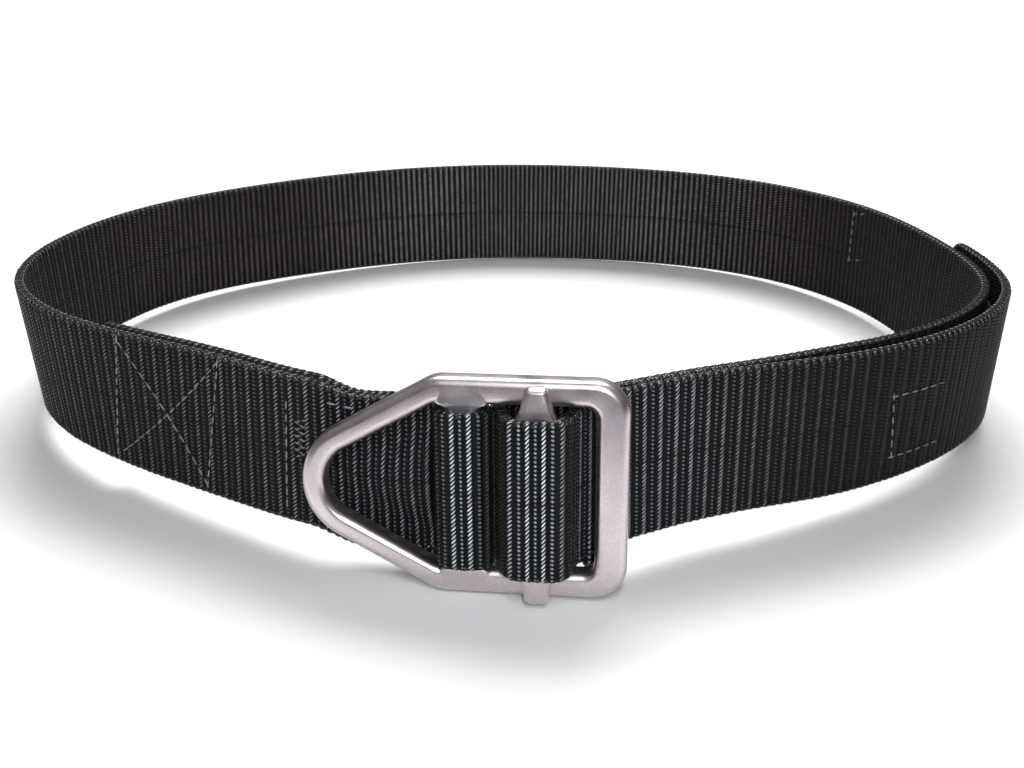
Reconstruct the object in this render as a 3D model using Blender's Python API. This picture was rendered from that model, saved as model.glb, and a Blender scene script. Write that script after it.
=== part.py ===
"""Nylon webbing belt, fastened in a loop with a pointed metal frame buckle and a loose slider bar.

The belt is worked out in its own frame: X to the wearer's left as seen from the front, Y away from
the viewer, Z up, with the lower edge of the webbing on Z = 0. An empty then tilts the whole belt
so that it rests on the bottom rail of its buckle and on the lower edge of the webbing at the back.
Sizes are in millimetres and are turned to metres where the meshes are made.
"""
import bpy
import bmesh
import numpy as np
from math import asin, atan, cos, pi, radians, sin, tan
from mathutils import Matrix, Vector

MM = 0.001

# Webbing: one long strap of thick woven nylon
STRAP_WIDTH = 38.0
STRAP_THICKNESS = 2.7
TOUCH_GAP = 0.3
PLY_PITCH = STRAP_THICKNESS + TOUCH_GAP
STATION_STEP = 5.0

# Hook and loop fastener sewn between the plies on the wearer's left hip
PATCH_THICKNESS = 1.0
PATCH_WIDTH = 20.0
FASTENED_PITCH = STRAP_THICKNESS + 2 * PATCH_THICKNESS + 3 * TOUCH_GAP

# Buckle frame: a delta with a straight bar on its right and its rounded tip on the left
FRAME_LENGTH = 74.0
FRAME_HEIGHT = 51.6
FRAME_THICKNESS = 6.2
OPENING_HEIGHT = 39.6
RIGHT_BAR_WIDTH = 7.4
ARM_WIDTH = 5.4
TOP_RAIL_LENGTH = 43.2
ARM_SLOPE = radians(29.0)
OUTER_CORNER_RADIUS = 8.0
INNER_CORNER_RADIUS = 2.6
KNEE_OUTER_RADIUS = 7.0
KNEE_INNER_RADIUS = 5.0
EDGE_RADIUS = 1.9
TIP_PIECES = 6
KNEE_PIECES = 3
CORNER_PIECES = 6

# Crossbar cast in one with the frame, hidden under the left roll of webbing
CROSSBAR_FROM_RIGHT = 36.8
CROSSBAR_WIDTH = 7.4
CROSSBAR_THICKNESS = 4.6
CROSSBAR_DEPTH = -2.0
CROSSBAR_BITE = 1.2
BAR_EDGE_RADIUS = 2.1

# Slider bar, whose tapered tabs lie on the front of the two rails
SLIDER_FROM_RIGHT = 20.1
SLIDER_WIDTH = 9.6
SLIDER_THICKNESS = 3.8
SLIDER_SECTIONS = (
    # height above the middle, width, thickness
    (-25.7, 4.4, 1.9),
    (-25.1, 5.4, 2.8),
    (-22.0, 6.6, 3.3),
    (-19.6, 8.6, 3.8),
    (-18.0, SLIDER_WIDTH, SLIDER_THICKNESS),
    (18.0, SLIDER_WIDTH, SLIDER_THICKNESS),
    (19.6, 8.6, 3.8),
    (22.0, 6.6, 3.3),
    (24.3, 5.4, 2.8),
    (24.9, 4.4, 1.9),
)
SLIDER_EDGE_RADIUS = 1.3

# Where the buckle sits: the middle of its right edge on the front face
BUCKLE_AT = Vector((31.7, -87.6, 18.0))
BUCKLE_YAW = radians(-7.0)
BUCKLE_LEAN = radians(6.0)
BUCKLE_ROLL = radians(1.4)

# How the webbing passes behind the frame: its tightest bend, its gap and the places it turns at
STRAP_BEND = 2.9
BACK_GAP = 0.5
BEHIND_TIP = -62.0
BEHIND_SLIDER = -10.0
BETWEEN_BARS = -26.585
LEAN_BETWEEN_BARS = 16.5
BESIDE_SLIDER = -2.0
BEND_PIECES = 5

# Plan of the loop at half height, midway between the two plies, measured from the loop's middle
PLAN = (
    # bearing in degrees, radius, how far the lower edge stands out
    (0, 141.5, -0.8),
    (18, 147.9, 0.0),
    (36, 153.0, 1.9),
    (54, 151.0, 1.1),
    (72, 143.5, -1.3),
    (90, 139.0, -2.6),
    (108, 136.5, -1.9),
    (126, 137.5, 1.8),
    (144, 142.0, 3.4),
    (162, 140.5, -0.3),
    (180, 131.2, -2.4),
    (198, 106.5, -0.6),
    (216, 87.0, 2.5),
    (234, 80.0, 1.8),
    (252, 77.5, 2.0),
    (270, 77.0, 3.9),
    (288, 79.0, 4.0),
    (306, 80.7, 2.4),
    (324, 93.2, 1.7),
    (342, 117.5, -0.4),
)

# How far each ply stands off the plan, outwards
PLY_OFFSETS = (
    # bearing in degrees, inner ply, outer ply
    (-70, -0.5 * PLY_PITCH, 0.5 * PLY_PITCH),
    (-45, -0.5 * PLY_PITCH, 0.5 * PLY_PITCH),
    (-28, -0.5 * FASTENED_PITCH, 0.5 * FASTENED_PITCH),
    (4, -0.5 * FASTENED_PITCH, 0.5 * FASTENED_PITCH),
    (34, 0.0, FASTENED_PITCH),
    (90, 0.0, 0.0),
    (170, 0.0, 0.0),
    (196, -0.5 * PLY_PITCH, 0.5 * PLY_PITCH),
    (290, -0.5 * PLY_PITCH, 0.5 * PLY_PITCH),
)
INNER_PLY = 1
OUTER_PLY = 2

# Bearings at which the plies start and stop
BACK_BEARING = 90.0
TAIL_END = 16.0
RETURN_END = 200.0
LEFT_BAND_START = 240.0
RIGHT_BAND_START = -64.0
RIGHT_INNER_STOP = -75.0
HOOK_PATCH_SPAN = (-24.0, 14.0)
LOOP_PATCH_SPAN = (-24.0, 34.0)


def periodic_spline(column):
    """A smooth closed curve through one column of the plan table, as a function of the bearing."""
    values = np.array([row[column] for row in PLAN], dtype=float)
    count = len(values)
    system = 4 * np.eye(count) + np.roll(np.eye(count), 1, axis=1) + np.roll(np.eye(count), -1, axis=1)
    bends = np.linalg.solve(system, 6 * (np.roll(values, -1) - 2 * values + np.roll(values, 1)))

    def value(bearing):
        place = (bearing % 360.0) * count / 360.0
        low = int(place) % count
        high = (low + 1) % count
        t = place - int(place)
        s = 1 - t
        straight = s * values[low] + t * values[high]
        return straight + ((s ** 3 - s) * bends[low] + (t ** 3 - t) * bends[high]) / 6

    return value


PLAN_RADIUS = periodic_spline(1)
PLAN_LEAN = periodic_spline(2)


def smooth_table(rows, place, column):
    """Read a table by its first column, easing from one row to the next."""
    if place <= rows[0][0]:
        return rows[0][column]
    for low, high in zip(rows, rows[1:]):
        if place <= high[0]:
            t = (place - low[0]) / (high[0] - low[0])
            t = t * t * (3 - 2 * t)
            return low[column] + t * (high[column] - low[column])
    return rows[-1][column]


def plan_point(bearing):
    turn = radians(bearing)
    radius = PLAN_RADIUS(bearing)
    return Vector((radius * cos(turn), radius * sin(turn)))


def plan_pace(bearing):
    """How the plan moves on over one degree of bearing."""
    return plan_point(bearing + 0.5) - plan_point(bearing - 0.5)


def plan_normal(bearing):
    """The outward direction of the plan at a bearing."""
    along = plan_pace(bearing)
    return Vector((along.y, -along.x)).normalized()


def band_station(bearing, offset):
    """The middle of the webbing at a bearing, and the direction of its width."""
    outward = plan_normal(bearing)
    lean = asin(PLAN_LEAN(bearing) / STRAP_WIDTH)
    up = Vector((-outward.x * sin(lean), -outward.y * sin(lean), cos(lean)))
    place = plan_point(bearing) + outward * offset
    return Vector((place.x, place.y, 0.5 * STRAP_WIDTH * cos(lean))), up


def band_stations(first, last, ply, offset=0.0):
    """Stations of one ply from one bearing to another, at even steps along the plan."""
    sense = 1 if last > first else -1
    bearings = [first]
    while sense * (last - bearings[-1]) > 0:
        bearings.append(bearings[-1] + sense * STATION_STEP / plan_pace(bearings[-1]).length)
    stretch = (last - first) / (bearings[-1] - first)
    bearings = [first + (bearing - first) * stretch for bearing in bearings]
    return [band_station(bearing, smooth_table(PLY_OFFSETS, bearing, ply) + offset) for bearing in bearings]


BUCKLE_OUT = Vector((sin(BUCKLE_YAW), -cos(BUCKLE_YAW), 0))
LEVEL_RIGHT = Vector((cos(BUCKLE_YAW), sin(BUCKLE_YAW), 0))
LEVEL_UP = Vector((0, 0, cos(BUCKLE_LEAN))) - BUCKLE_OUT * sin(BUCKLE_LEAN)
BUCKLE_RIGHT = LEVEL_RIGHT * cos(BUCKLE_ROLL) + LEVEL_UP * sin(BUCKLE_ROLL)
BUCKLE_UP = LEVEL_UP * cos(BUCKLE_ROLL) - LEVEL_RIGHT * sin(BUCKLE_ROLL)
BUCKLE_FRONT = BUCKLE_RIGHT.cross(BUCKLE_UP)
BUCKLE_MATRIX = Matrix((
    (BUCKLE_RIGHT.x, BUCKLE_UP.x, BUCKLE_FRONT.x, BUCKLE_AT.x),
    (BUCKLE_RIGHT.y, BUCKLE_UP.y, BUCKLE_FRONT.y, BUCKLE_AT.y),
    (BUCKLE_RIGHT.z, BUCKLE_UP.z, BUCKLE_FRONT.z, BUCKLE_AT.z),
    (0, 0, 0, 1),
))


def buckle_station(along, depth):
    """A station of the webbing in the buckle: along to the right, depth out of the front face."""
    return BUCKLE_MATRIX @ Vector((along, 0, depth)), BUCKLE_UP.copy()


def arc(centre, radius, first, last, pieces):
    """Buckle stations along an arc between two angles, given in degrees."""
    stations = []
    for index in range(pieces + 1):
        turn = radians(first + (last - first) * index / pieces)
        stations.append(buckle_station(centre[0] + radius * cos(turn), centre[1] + radius * sin(turn)))
    return stations


def bridge(start, end, start_pull, end_pull, pieces):
    """Stations of a smooth curve that joins two runs, without the ends of the runs."""
    before, leave = start[-2][0], start[-1][0]
    arrive, after = end[0][0], end[1][0]
    start_way = (leave - before).normalized() * start_pull
    end_way = (after - arrive).normalized() * end_pull
    stations = []
    for index in range(1, pieces):
        t = index / pieces
        h00 = 2 * t ** 3 - 3 * t ** 2 + 1
        h10 = t ** 3 - 2 * t ** 2 + t
        h01 = 3 * t ** 2 - 2 * t ** 3
        h11 = t ** 3 - t ** 2
        place = h00 * leave + h10 * start_way + h01 * arrive + h11 * end_way
        up = (start[-1][1].lerp(end[0][1], t * t * (3 - 2 * t))).normalized()
        stations.append((place, up))
    return stations


def around(centre, width, thickness, edge_radius):
    """The middle line of the webbing around a bar: half sizes and corner radius."""
    clear = TOUCH_GAP + 0.5 * STRAP_THICKNESS
    half_width = 0.5 * width + clear
    half_depth = 0.5 * thickness + clear
    corner = edge_radius + clear
    right = centre[0] + half_width - corner
    left = centre[0] - half_width + corner
    front = centre[1] + half_depth - corner
    back = centre[1] - half_depth + corner
    return left, right, back, front, corner


def crossbar_runs():
    """The two runs of webbing at the crossbar: in from the sewn end, and round and out again."""
    left, right, back, front, corner = around(
        (-CROSSBAR_FROM_RIGHT, CROSSBAR_DEPTH), CROSSBAR_WIDTH, CROSSBAR_THICKNESS, BAR_EDGE_RADIUS)
    behind_frame = -(FRAME_THICKNESS + BACK_GAP + 0.5 * STRAP_THICKNESS)
    turn = (left - corner - STRAP_BEND, behind_frame + STRAP_BEND)
    arriving = (
        [buckle_station(BEHIND_TIP, behind_frame - PLY_PITCH)]
        + arc(turn, STRAP_BEND + PLY_PITCH, -90, -40, BEND_PIECES)
    )
    wrapping = (
        arc((right, back), corner, -80, 0, BEND_PIECES)
        + arc((right, front), corner, 0, 90, BEND_PIECES)
        + arc((left, front), corner, 90, 180, BEND_PIECES)
        + arc(turn, STRAP_BEND, 0, -90, BEND_PIECES)
        + [buckle_station(BEHIND_TIP, behind_frame)]
    )
    return arriving, wrapping


def slider_run():
    """The run of webbing that comes forward between the bars, leaning from the roll, and over the slider."""
    middle = (-SLIDER_FROM_RIGHT, TOUCH_GAP + 0.5 * SLIDER_THICKNESS)
    left, right, back, front, corner = around(middle, SLIDER_WIDTH, SLIDER_THICKNESS, SLIDER_EDGE_RADIUS)
    rise = (BETWEEN_BARS, BEHIND_SLIDER + STRAP_BEND)
    return (
        arc(rise, STRAP_BEND, -100, -180 - LEAN_BETWEEN_BARS, BEND_PIECES)
        + arc((left, front), corner, 180 - LEAN_BETWEEN_BARS, 90, BEND_PIECES)
        + arc((right, front), corner, 90, 0, BEND_PIECES)
        + [buckle_station(right + corner, BESIDE_SLIDER)]
    )


def strap_route():
    """Stations of the whole strap, from its sewn inner end to the free tail."""
    arriving, wrapping = crossbar_runs()
    over_slider = slider_run()
    sewn_end = band_stations(RETURN_END, LEFT_BAND_START, INNER_PLY)
    left_band = band_stations(LEFT_BAND_START, BACK_BEARING, OUTER_PLY)
    right_band = band_stations(BACK_BEARING, RIGHT_INNER_STOP, INNER_PLY)
    tail = band_stations(RIGHT_BAND_START, TAIL_END, OUTER_PLY)

    route = list(sewn_end)
    route += bridge(sewn_end, arriving, 8, 8, 3) + arriving
    route += bridge(arriving, wrapping, 4, 4, 3) + wrapping
    route += bridge(wrapping, left_band, 8, 8, 3) + left_band
    route += right_band[1:]
    route += bridge(right_band, over_slider, 8, 8, 4) + over_slider
    route += bridge(over_slider, tail, 16, 14, 8) + tail
    return route


def new_object(name, mesh_data, material, parent):
    mesh = bpy.data.meshes.new(name)
    mesh_data.to_mesh(mesh)
    mesh_data.free()
    mesh.materials.append(material)
    thing = bpy.data.objects.new(name, mesh)
    bpy.context.scene.collection.objects.link(thing)
    thing.parent = parent
    return thing


def ribbon(stations, width, thickness):
    """A closed band of rectangular section along stations, in metres."""
    mesh = bmesh.new()
    rings = []
    for index, (place, up) in enumerate(stations):
        before = stations[max(index - 1, 0)][0]
        after = stations[min(index + 1, len(stations) - 1)][0]
        way_in = (place - before) if index else (after - place)
        way_out = (after - place) if index < len(stations) - 1 else way_in
        way = (way_in.normalized() + way_out.normalized()).normalized()
        side = way.cross(up).normalized()
        miter = 1 / side.dot(way_out.cross(up).normalized())
        half = side * (0.5 * thickness * miter)
        rise = up * (0.5 * width)
        corners = (place + half + rise, place + half - rise, place - half - rise, place - half + rise)
        rings.append([mesh.verts.new(corner * MM) for corner in corners])
    for ring, after in zip(rings, rings[1:]):
        for index in range(4):
            following = (index + 1) % 4
            mesh.faces.new((ring[index], ring[following], after[following], after[index]))
    mesh.faces.new(rings[0][::-1])
    mesh.faces.new(rings[-1])
    bmesh.ops.recalc_face_normals(mesh, faces=mesh.faces)
    return mesh


def rounded_section(low, high, back, front, radius):
    """Twelve corners of a rounded section, as (across, depth) pairs between four limits."""
    points = []
    for centre_across, centre_depth, first in (
        (high - radius, front - radius, 0),
        (low + radius, front - radius, 90),
        (low + radius, back + radius, 180),
        (high - radius, back + radius, 270),
    ):
        for step in (0, 45, 90):
            turn = radians(first + step)
            points.append((centre_across + radius * cos(turn), centre_depth + radius * sin(turn)))
    return points


def corner_arc(corner, way_in, way_out, radius, pieces):
    """Points of an arc that rounds a corner between two straight runs."""
    turn = way_in.angle_signed(way_out) * -1
    reach = radius * tan(abs(turn) / 2)
    start = corner - way_in * reach
    side = Vector((-way_in.y, way_in.x)) * (1 if turn > 0 else -1)
    centre = start + side * radius
    points = []
    for index in range(pieces + 1):
        swing = Matrix.Rotation(turn * index / pieces, 2)
        points.append(centre + swing @ (start - centre))
    return points


def frame_outline(inset, corner_radius, knee_radius, tip_radius_less):
    """One outline of the frame, anticlockwise from its tip, symmetric about its middle line."""
    half = 0.5 * (OPENING_HEIGHT if inset else FRAME_HEIGHT)
    right = -RIGHT_BAR_WIDTH if inset else 0.0
    arm_inset = ARM_WIDTH if inset else 0.0
    slope = Vector((cos(ARM_SLOPE), sin(ARM_SLOPE)))
    apex = -TOP_RAIL_LENGTH - 0.5 * FRAME_HEIGHT / tan(ARM_SLOPE)
    tip_radius = (-FRAME_LENGTH - apex) / (1 / sin(ARM_SLOPE) - 1) - tip_radius_less
    apex += arm_inset / sin(ARM_SLOPE)
    tip_centre = Vector((apex + tip_radius / sin(ARM_SLOPE), 0))
    knee = apex + half / tan(ARM_SLOPE)
    lower_way = Vector((slope.x, -slope.y))
    east = Vector((1, 0))
    north = Vector((0, 1))
    points = []
    for index in range(TIP_PIECES + 1):
        turn = radians(180) + (pi / 2 - ARM_SLOPE) * index / TIP_PIECES
        points.append(tip_centre + tip_radius * Vector((cos(turn), sin(turn))))
    points += corner_arc(Vector((knee, -half)), lower_way, east, knee_radius, KNEE_PIECES)
    points += corner_arc(Vector((right, -half)), east, north, corner_radius, CORNER_PIECES)
    mirrored = [Vector((point.x, -point.y)) for point in reversed(points[1:])]
    return points + mirrored


def make_frame(material, parent):
    """The delta frame with its crossbar, joined by a union."""
    outer = frame_outline(False, OUTER_CORNER_RADIUS, KNEE_OUTER_RADIUS, 0.0)
    inner = frame_outline(True, INNER_CORNER_RADIUS, KNEE_INNER_RADIUS, ARM_WIDTH)
    mesh = bmesh.new()
    rings = []
    for far, near in zip(outer, inner):
        across = far - near
        wall = across.length
        way = across.normalized()
        ring = []
        for reach, depth in rounded_section(0, wall, -FRAME_THICKNESS, 0, EDGE_RADIUS):
            point = near + way * reach
            ring.append(mesh.verts.new(Vector((point.x, point.y, depth)) * MM))
        rings.append(ring)
    close_rings(mesh, rings, closed=True)
    frame = new_object("buckle_frame", mesh, material, parent)
    frame.matrix_local = metres(BUCKLE_MATRIX)

    half_span = 0.5 * OPENING_HEIGHT + CROSSBAR_BITE
    mesh = bmesh.new()
    rings = []
    for height in (-half_span, half_span):
        section = rounded_section(
            -CROSSBAR_FROM_RIGHT - 0.5 * CROSSBAR_WIDTH, -CROSSBAR_FROM_RIGHT + 0.5 * CROSSBAR_WIDTH,
            CROSSBAR_DEPTH - 0.5 * CROSSBAR_THICKNESS, CROSSBAR_DEPTH + 0.5 * CROSSBAR_THICKNESS,
            BAR_EDGE_RADIUS)
        rings.append([mesh.verts.new(Vector((across, height, depth)) * MM) for across, depth in section])
    close_rings(mesh, rings, closed=False)
    crossbar = new_object("crossbar_tool", mesh, material, parent)
    crossbar.matrix_local = metres(BUCKLE_MATRIX)
    crossbar.hide_render = True
    crossbar.display_type = "WIRE"

    union = frame.modifiers.new("crossbar", "BOOLEAN")
    union.operation = "UNION"
    union.solver = "EXACT"
    union.object = crossbar
    finish_round(frame)
    return frame


def make_slider(material, parent):
    """The loose bar: a thick middle under the webbing and a tapered tab at each end."""
    mesh = bmesh.new()
    rings = []
    for height, width, thickness in SLIDER_SECTIONS:
        radius = min(SLIDER_EDGE_RADIUS, 0.45 * thickness)
        section = rounded_section(-0.5 * width, 0.5 * width, 0, thickness, radius)
        rings.append([
            mesh.verts.new(Vector((across - SLIDER_FROM_RIGHT, height, depth + TOUCH_GAP)) * MM)
            for across, depth in section
        ])
    close_rings(mesh, rings, closed=False)
    slider = new_object("slider_bar", mesh, material, parent)
    slider.matrix_local = metres(BUCKLE_MATRIX)
    finish_round(slider)
    return slider


def close_rings(mesh, rings, closed):
    """Skin a list of rings of corners, round in a loop or with a cap at each end."""
    pairs = list(zip(rings, rings[1:]))
    if closed:
        pairs.append((rings[-1], rings[0]))
    for ring, after in pairs:
        count = len(ring)
        for index in range(count):
            following = (index + 1) % count
            mesh.faces.new((ring[index], ring[following], after[following], after[index]))
    if not closed:
        mesh.faces.new(rings[0][::-1])
        mesh.faces.new(rings[-1])
    bmesh.ops.recalc_face_normals(mesh, faces=mesh.faces)


def metres(matrix):
    """The same placement with its shift in metres."""
    placed = matrix.copy()
    placed.translation = matrix.translation * MM
    return placed


def finish_round(thing):
    thing.data.shade_smooth()
    thing.data.set_sharp_from_angle(angle=radians(50))


def make_patch(name, span, column, facing, material, parent):
    """A strip of fastener tape lying on one face of a ply."""
    offset = facing * (0.5 * STRAP_THICKNESS + TOUCH_GAP + 0.5 * PATCH_THICKNESS)
    stations = band_stations(span[0], span[1], column, offset)
    return new_object(name, ribbon(stations, PATCH_WIDTH, PATCH_THICKNESS), material, parent)


def make_material(name, colour, roughness, metallic):
    material = bpy.data.materials.new(name)
    material.use_nodes = True
    shader = material.node_tree.nodes["Principled BSDF"]
    shader.inputs["Base Color"].default_value = (*colour, 1)
    shader.inputs["Roughness"].default_value = roughness
    shader.inputs["Metallic"].default_value = metallic
    material.diffuse_color = (*colour, 1)
    return material


def corners_of(thing):
    return [thing.matrix_world @ vertex.co for vertex in thing.data.vertices]


def settle(rest, frame, strap, pieces):
    """Tilt the belt onto its buckle and its back edge, then centre it over the origin."""
    bpy.context.view_layer.update()
    heel = min(corners_of(frame), key=lambda point: point.z)
    slope = max((heel.z - point.z) / (point.y - heel.y) for point in corners_of(strap) if point.y > 0)
    rest.rotation_euler = (atan(slope), 0, 0)
    bpy.context.view_layer.update()
    places = [place for thing in pieces for place in corners_of(thing)]
    xs = [place.x for place in places]
    ys = [place.y for place in places]
    zs = [place.z for place in places]
    rest.location = (-0.5 * (min(xs) + max(xs)), -0.5 * (min(ys) + max(ys)), -min(zs))
    bpy.context.view_layer.update()


def main():
    for thing in list(bpy.data.objects):
        bpy.data.objects.remove(thing, do_unlink=True)

    nylon = make_material("woven nylon webbing", (0.022, 0.023, 0.024), 0.62, 0.0)
    metal = make_material("satin anodised aluminium", (0.66, 0.60, 0.59), 0.32, 1.0)
    hook_tape = make_material("nylon hook tape", (0.015, 0.015, 0.016), 0.70, 0.0)
    loop_tape = make_material("nylon loop tape", (0.026, 0.026, 0.028), 0.90, 0.0)

    rest = bpy.data.objects.new("belt_rest", None)
    bpy.context.scene.collection.objects.link(rest)

    stations = strap_route()
    strap = new_object("strap", ribbon(stations, STRAP_WIDTH, STRAP_THICKNESS), nylon, rest)
    frame = make_frame(metal, rest)
    slider = make_slider(metal, rest)
    hook = make_patch("hook_patch", HOOK_PATCH_SPAN, 2, -1, hook_tape, rest)
    loop = make_patch("loop_patch", LOOP_PATCH_SPAN, 1, 1, loop_tape, rest)
    settle(rest, frame, strap, (strap, frame, slider, hook, loop))


main()
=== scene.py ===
"""Woven nylon webbing belt with a delta buckle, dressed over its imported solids.

Every route and outline is worked out in millimetres in the belt's own frame: X to the wearer's
left, Y away from the viewer, Z up, with the lower edge of the webbing on Z = 0. REST then tips
the belt onto its buckle and its back edge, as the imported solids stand, and turns it to metres.
"""
from math import asin, cos, pi, radians, sin, sqrt, tan

import bpy
import numpy as np
from mathutils import Matrix, Vector


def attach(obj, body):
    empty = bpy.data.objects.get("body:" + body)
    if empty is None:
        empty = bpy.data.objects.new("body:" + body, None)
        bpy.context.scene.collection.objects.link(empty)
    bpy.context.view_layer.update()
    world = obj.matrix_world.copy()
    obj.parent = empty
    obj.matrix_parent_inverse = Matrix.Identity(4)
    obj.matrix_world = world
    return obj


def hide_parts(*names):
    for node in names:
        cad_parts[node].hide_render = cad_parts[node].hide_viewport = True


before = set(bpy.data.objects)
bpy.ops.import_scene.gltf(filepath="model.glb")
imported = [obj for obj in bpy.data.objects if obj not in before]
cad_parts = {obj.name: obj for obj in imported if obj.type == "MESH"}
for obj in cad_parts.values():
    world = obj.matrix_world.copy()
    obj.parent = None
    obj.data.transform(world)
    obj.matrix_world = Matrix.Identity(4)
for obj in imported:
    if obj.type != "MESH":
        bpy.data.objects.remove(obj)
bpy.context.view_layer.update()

bl_info = {
    "name": "Webbing belt with delta buckle",
    "version": (1, 0, 0),
    "blender": (4, 5, 0),
    "location": "3D View > Sidebar > Belt",
    "description": "Builds a looped nylon webbing belt with its metal buckle, slider and stitching",
    "category": "Add Mesh",
}

MM = 0.001
BODY = "root"
SEED = 7

# How the belt stands: tipped forward onto the bottom rail of its buckle
REST_TILT = radians(-2.3401)
REST_SHIFT = Vector((-5.385, -24.398, 5.784))
REST = Matrix.Translation(REST_SHIFT) @ Matrix.Rotation(REST_TILT, 4, "X")

# Webbing
STRAP_WIDTH = 38.0
STRAP_THICKNESS = 2.7
TOUCH_GAP = 0.3
PLY_PITCH = STRAP_THICKNESS + TOUCH_GAP
STATION_STEP = 1.25
STATIONS_PER_RIB = 4
SELVAGE_STAND = 0.95
TAIL_CORNER = 3.2
SECTION_FLAT = 17.9
SECTION_STEP = 2.5
SECTION_EDGE = ((18.5, 0.8), (18.75, 0.0), (18.5, -0.8))

# The weave: how far the odd ribs' yarns climb back, and the fine line along the middle of each face, as
# distances round the section
BACK_SLANT = 0.3
BETWEEN_MIDDLES = 37.565
MIDDLE_LINE = 19.665
LINE_WIDTH = 0.35

# Selvage loops: distance off the middle of the edge, slant in degrees, and share of a rib by which they lag
SELVAGE_ROWS = ((0.62, 34.0, 0.0), (-0.62, -34.0, 0.5))

# Hook and loop fastener between the plies
PATCH_THICKNESS = 1.0
PATCH_WIDTH = 20.0
PATCH_BEVEL = 0.3
PATCH_MARGIN = 1.0
FASTENED_PITCH = STRAP_THICKNESS + 2 * PATCH_THICKNESS + 3 * TOUCH_GAP

# Buckle frame
FRAME_LENGTH = 74.0
FRAME_HEIGHT = 51.6
FRAME_THICKNESS = 6.2
OPENING_HEIGHT = 39.6
RIGHT_BAR_WIDTH = 7.4
ARM_WIDTH = 5.4
TOP_RAIL_LENGTH = 43.2
ARM_SLOPE = radians(29.0)
OUTER_CORNER_RADIUS = 8.0
INNER_CORNER_RADIUS = 2.6
KNEE_OUTER_RADIUS = 7.0
KNEE_INNER_RADIUS = 5.0
TIP_PIECES = 30
KNEE_PIECES = 8
CORNER_PIECES = 18
OUTLINE_STEP = 2.5

# Crossbar cast in one with the frame
CROSSBAR_FROM_RIGHT = 36.8
CROSSBAR_WIDTH = 7.4
CROSSBAR_THICKNESS = 4.6
CROSSBAR_DEPTH = -2.0
CROSSBAR_BITE = 2.8
BAR_EDGE_RADIUS = 2.1
CROSSBAR_ROUND = 1.6
CROSSBAR_RINGS = 14
CROSSBAR_FILLET = 2.6
CROSSBAR_FILLET_SINK = 0.42
SHARP_FROM = radians(50)

# Slider bar
SLIDER_FROM_RIGHT = 20.1
SLIDER_WIDTH = 9.6
SLIDER_THICKNESS = 3.8
SLIDER_SECTIONS = (
    # height above the middle, width, thickness
    (-26.0, 3.6, 1.8),
    (-25.8, 4.8, 2.8),
    (-25.2, 5.4, 3.5),
    (-22.0, 6.3, 3.7),
    (-19.6, 7.2, 3.8),
    (-17.6, SLIDER_WIDTH, SLIDER_THICKNESS),
    (17.6, SLIDER_WIDTH, SLIDER_THICKNESS),
    (19.6, 7.6, 3.8),
    (22.0, 6.2, 3.7),
    (24.3, 4.8, 3.5),
    (24.9, 4.1, 2.8),
    (25.15, 2.8, 1.4),
)
SLIDER_RINGS = (
    # from one height to another, how many rings
    (-25.7, -17.0, 30),
    (-17.0, 17.0, 12),
    (17.0, 24.9, 30),
)
SLIDER_EDGE_RADIUS = 1.3

# Where the buckle sits: the middle of its right edge on the front face
BUCKLE_AT = Vector((31.7, -87.6, 18.0))
BUCKLE_YAW = radians(-7.0)
BUCKLE_LEAN = radians(6.0)
BUCKLE_ROLL = radians(1.4)

# How the webbing passes behind the frame
STRAP_BEND = 2.9
BACK_GAP = 0.5
BEHIND_TIP = -62.0
BEHIND_SLIDER = -11.5
BETWEEN_BARS = -27.47
LEAN_BETWEEN_BARS = 18.5
BESIDE_SLIDER = -2.6
OFF_SLIDER = 0.8
BEND_PIECES = 16
BRIDGE_FINENESS = 5

# Where the ribs are packed closer, in the buckle, and over how many fine steps that comes on
PACKED_MIDDLE = -34.0
PACKED_REACH = 34.0
PACKED_EASE = 41
FINE_STEP = 0.25

# How far the middle of the webbing stands forward behind the frame's window, by place from its right edge
WINDOW_BULGES = ((-67, 0.0), (-61, 1.3), (-55, 3.0), (-50, 4.4), (-46, 4.4), (-44.5, 2.5), (-43.5, 0.0))
WINDOW_BEHIND = -2.0
WINDOW_EASE = 5.0
WINDOW_PLY_BEHIND = -9.6
WINDOW_MARGIN = 2.5
WINDOW_LEAST_REACH = 3.0

# How far the lower edge hangs behind the frame's window: middle, reach and drop
HANG_PLACES = ((-12.5, 11.0, 6.4), (-28.0, 10.0, 4.0), (-47.0, 9.0, 2.2))
HANG_BEHIND = -6.6
HANG_EASE = 1.5
HANG_DEEPEST = -22.0

# Painted highlights on the crests of the yarns: how bright they are, by the distance to the wearer's left
FRONT_PAINTED_HIGHLIGHT = (
    (-150, 0.3), (-60, 0.3), (-30, 0.45), (0, 0.4), (30, 0.48), (50, 0.44), (70, 0.26), (95, 0.06),
    (150, 0.03))
BACK_PAINTED_HIGHLIGHT = ((-150, 0.2), (-80, 0.25), (-20, 0.55), (30, 0.55), (90, 0.42), (120, 0.15), (150, 0.08))

# The same painted highlights on the rolls: at their sides, how much more in front, how fast that falls off,
# and where it starts
ROLL_PAINTED_HIGHLIGHT_SIDE = 0.16
ROLL_PAINTED_HIGHLIGHT_FRONT = 0.84
ROLL_PAINTED_HIGHLIGHT_FALL = 6
ROLL_PAINTED_HIGHLIGHT_BEHIND = -3.0
ROLL_PAINTED_HIGHLIGHT_EASE = 2.0

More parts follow.
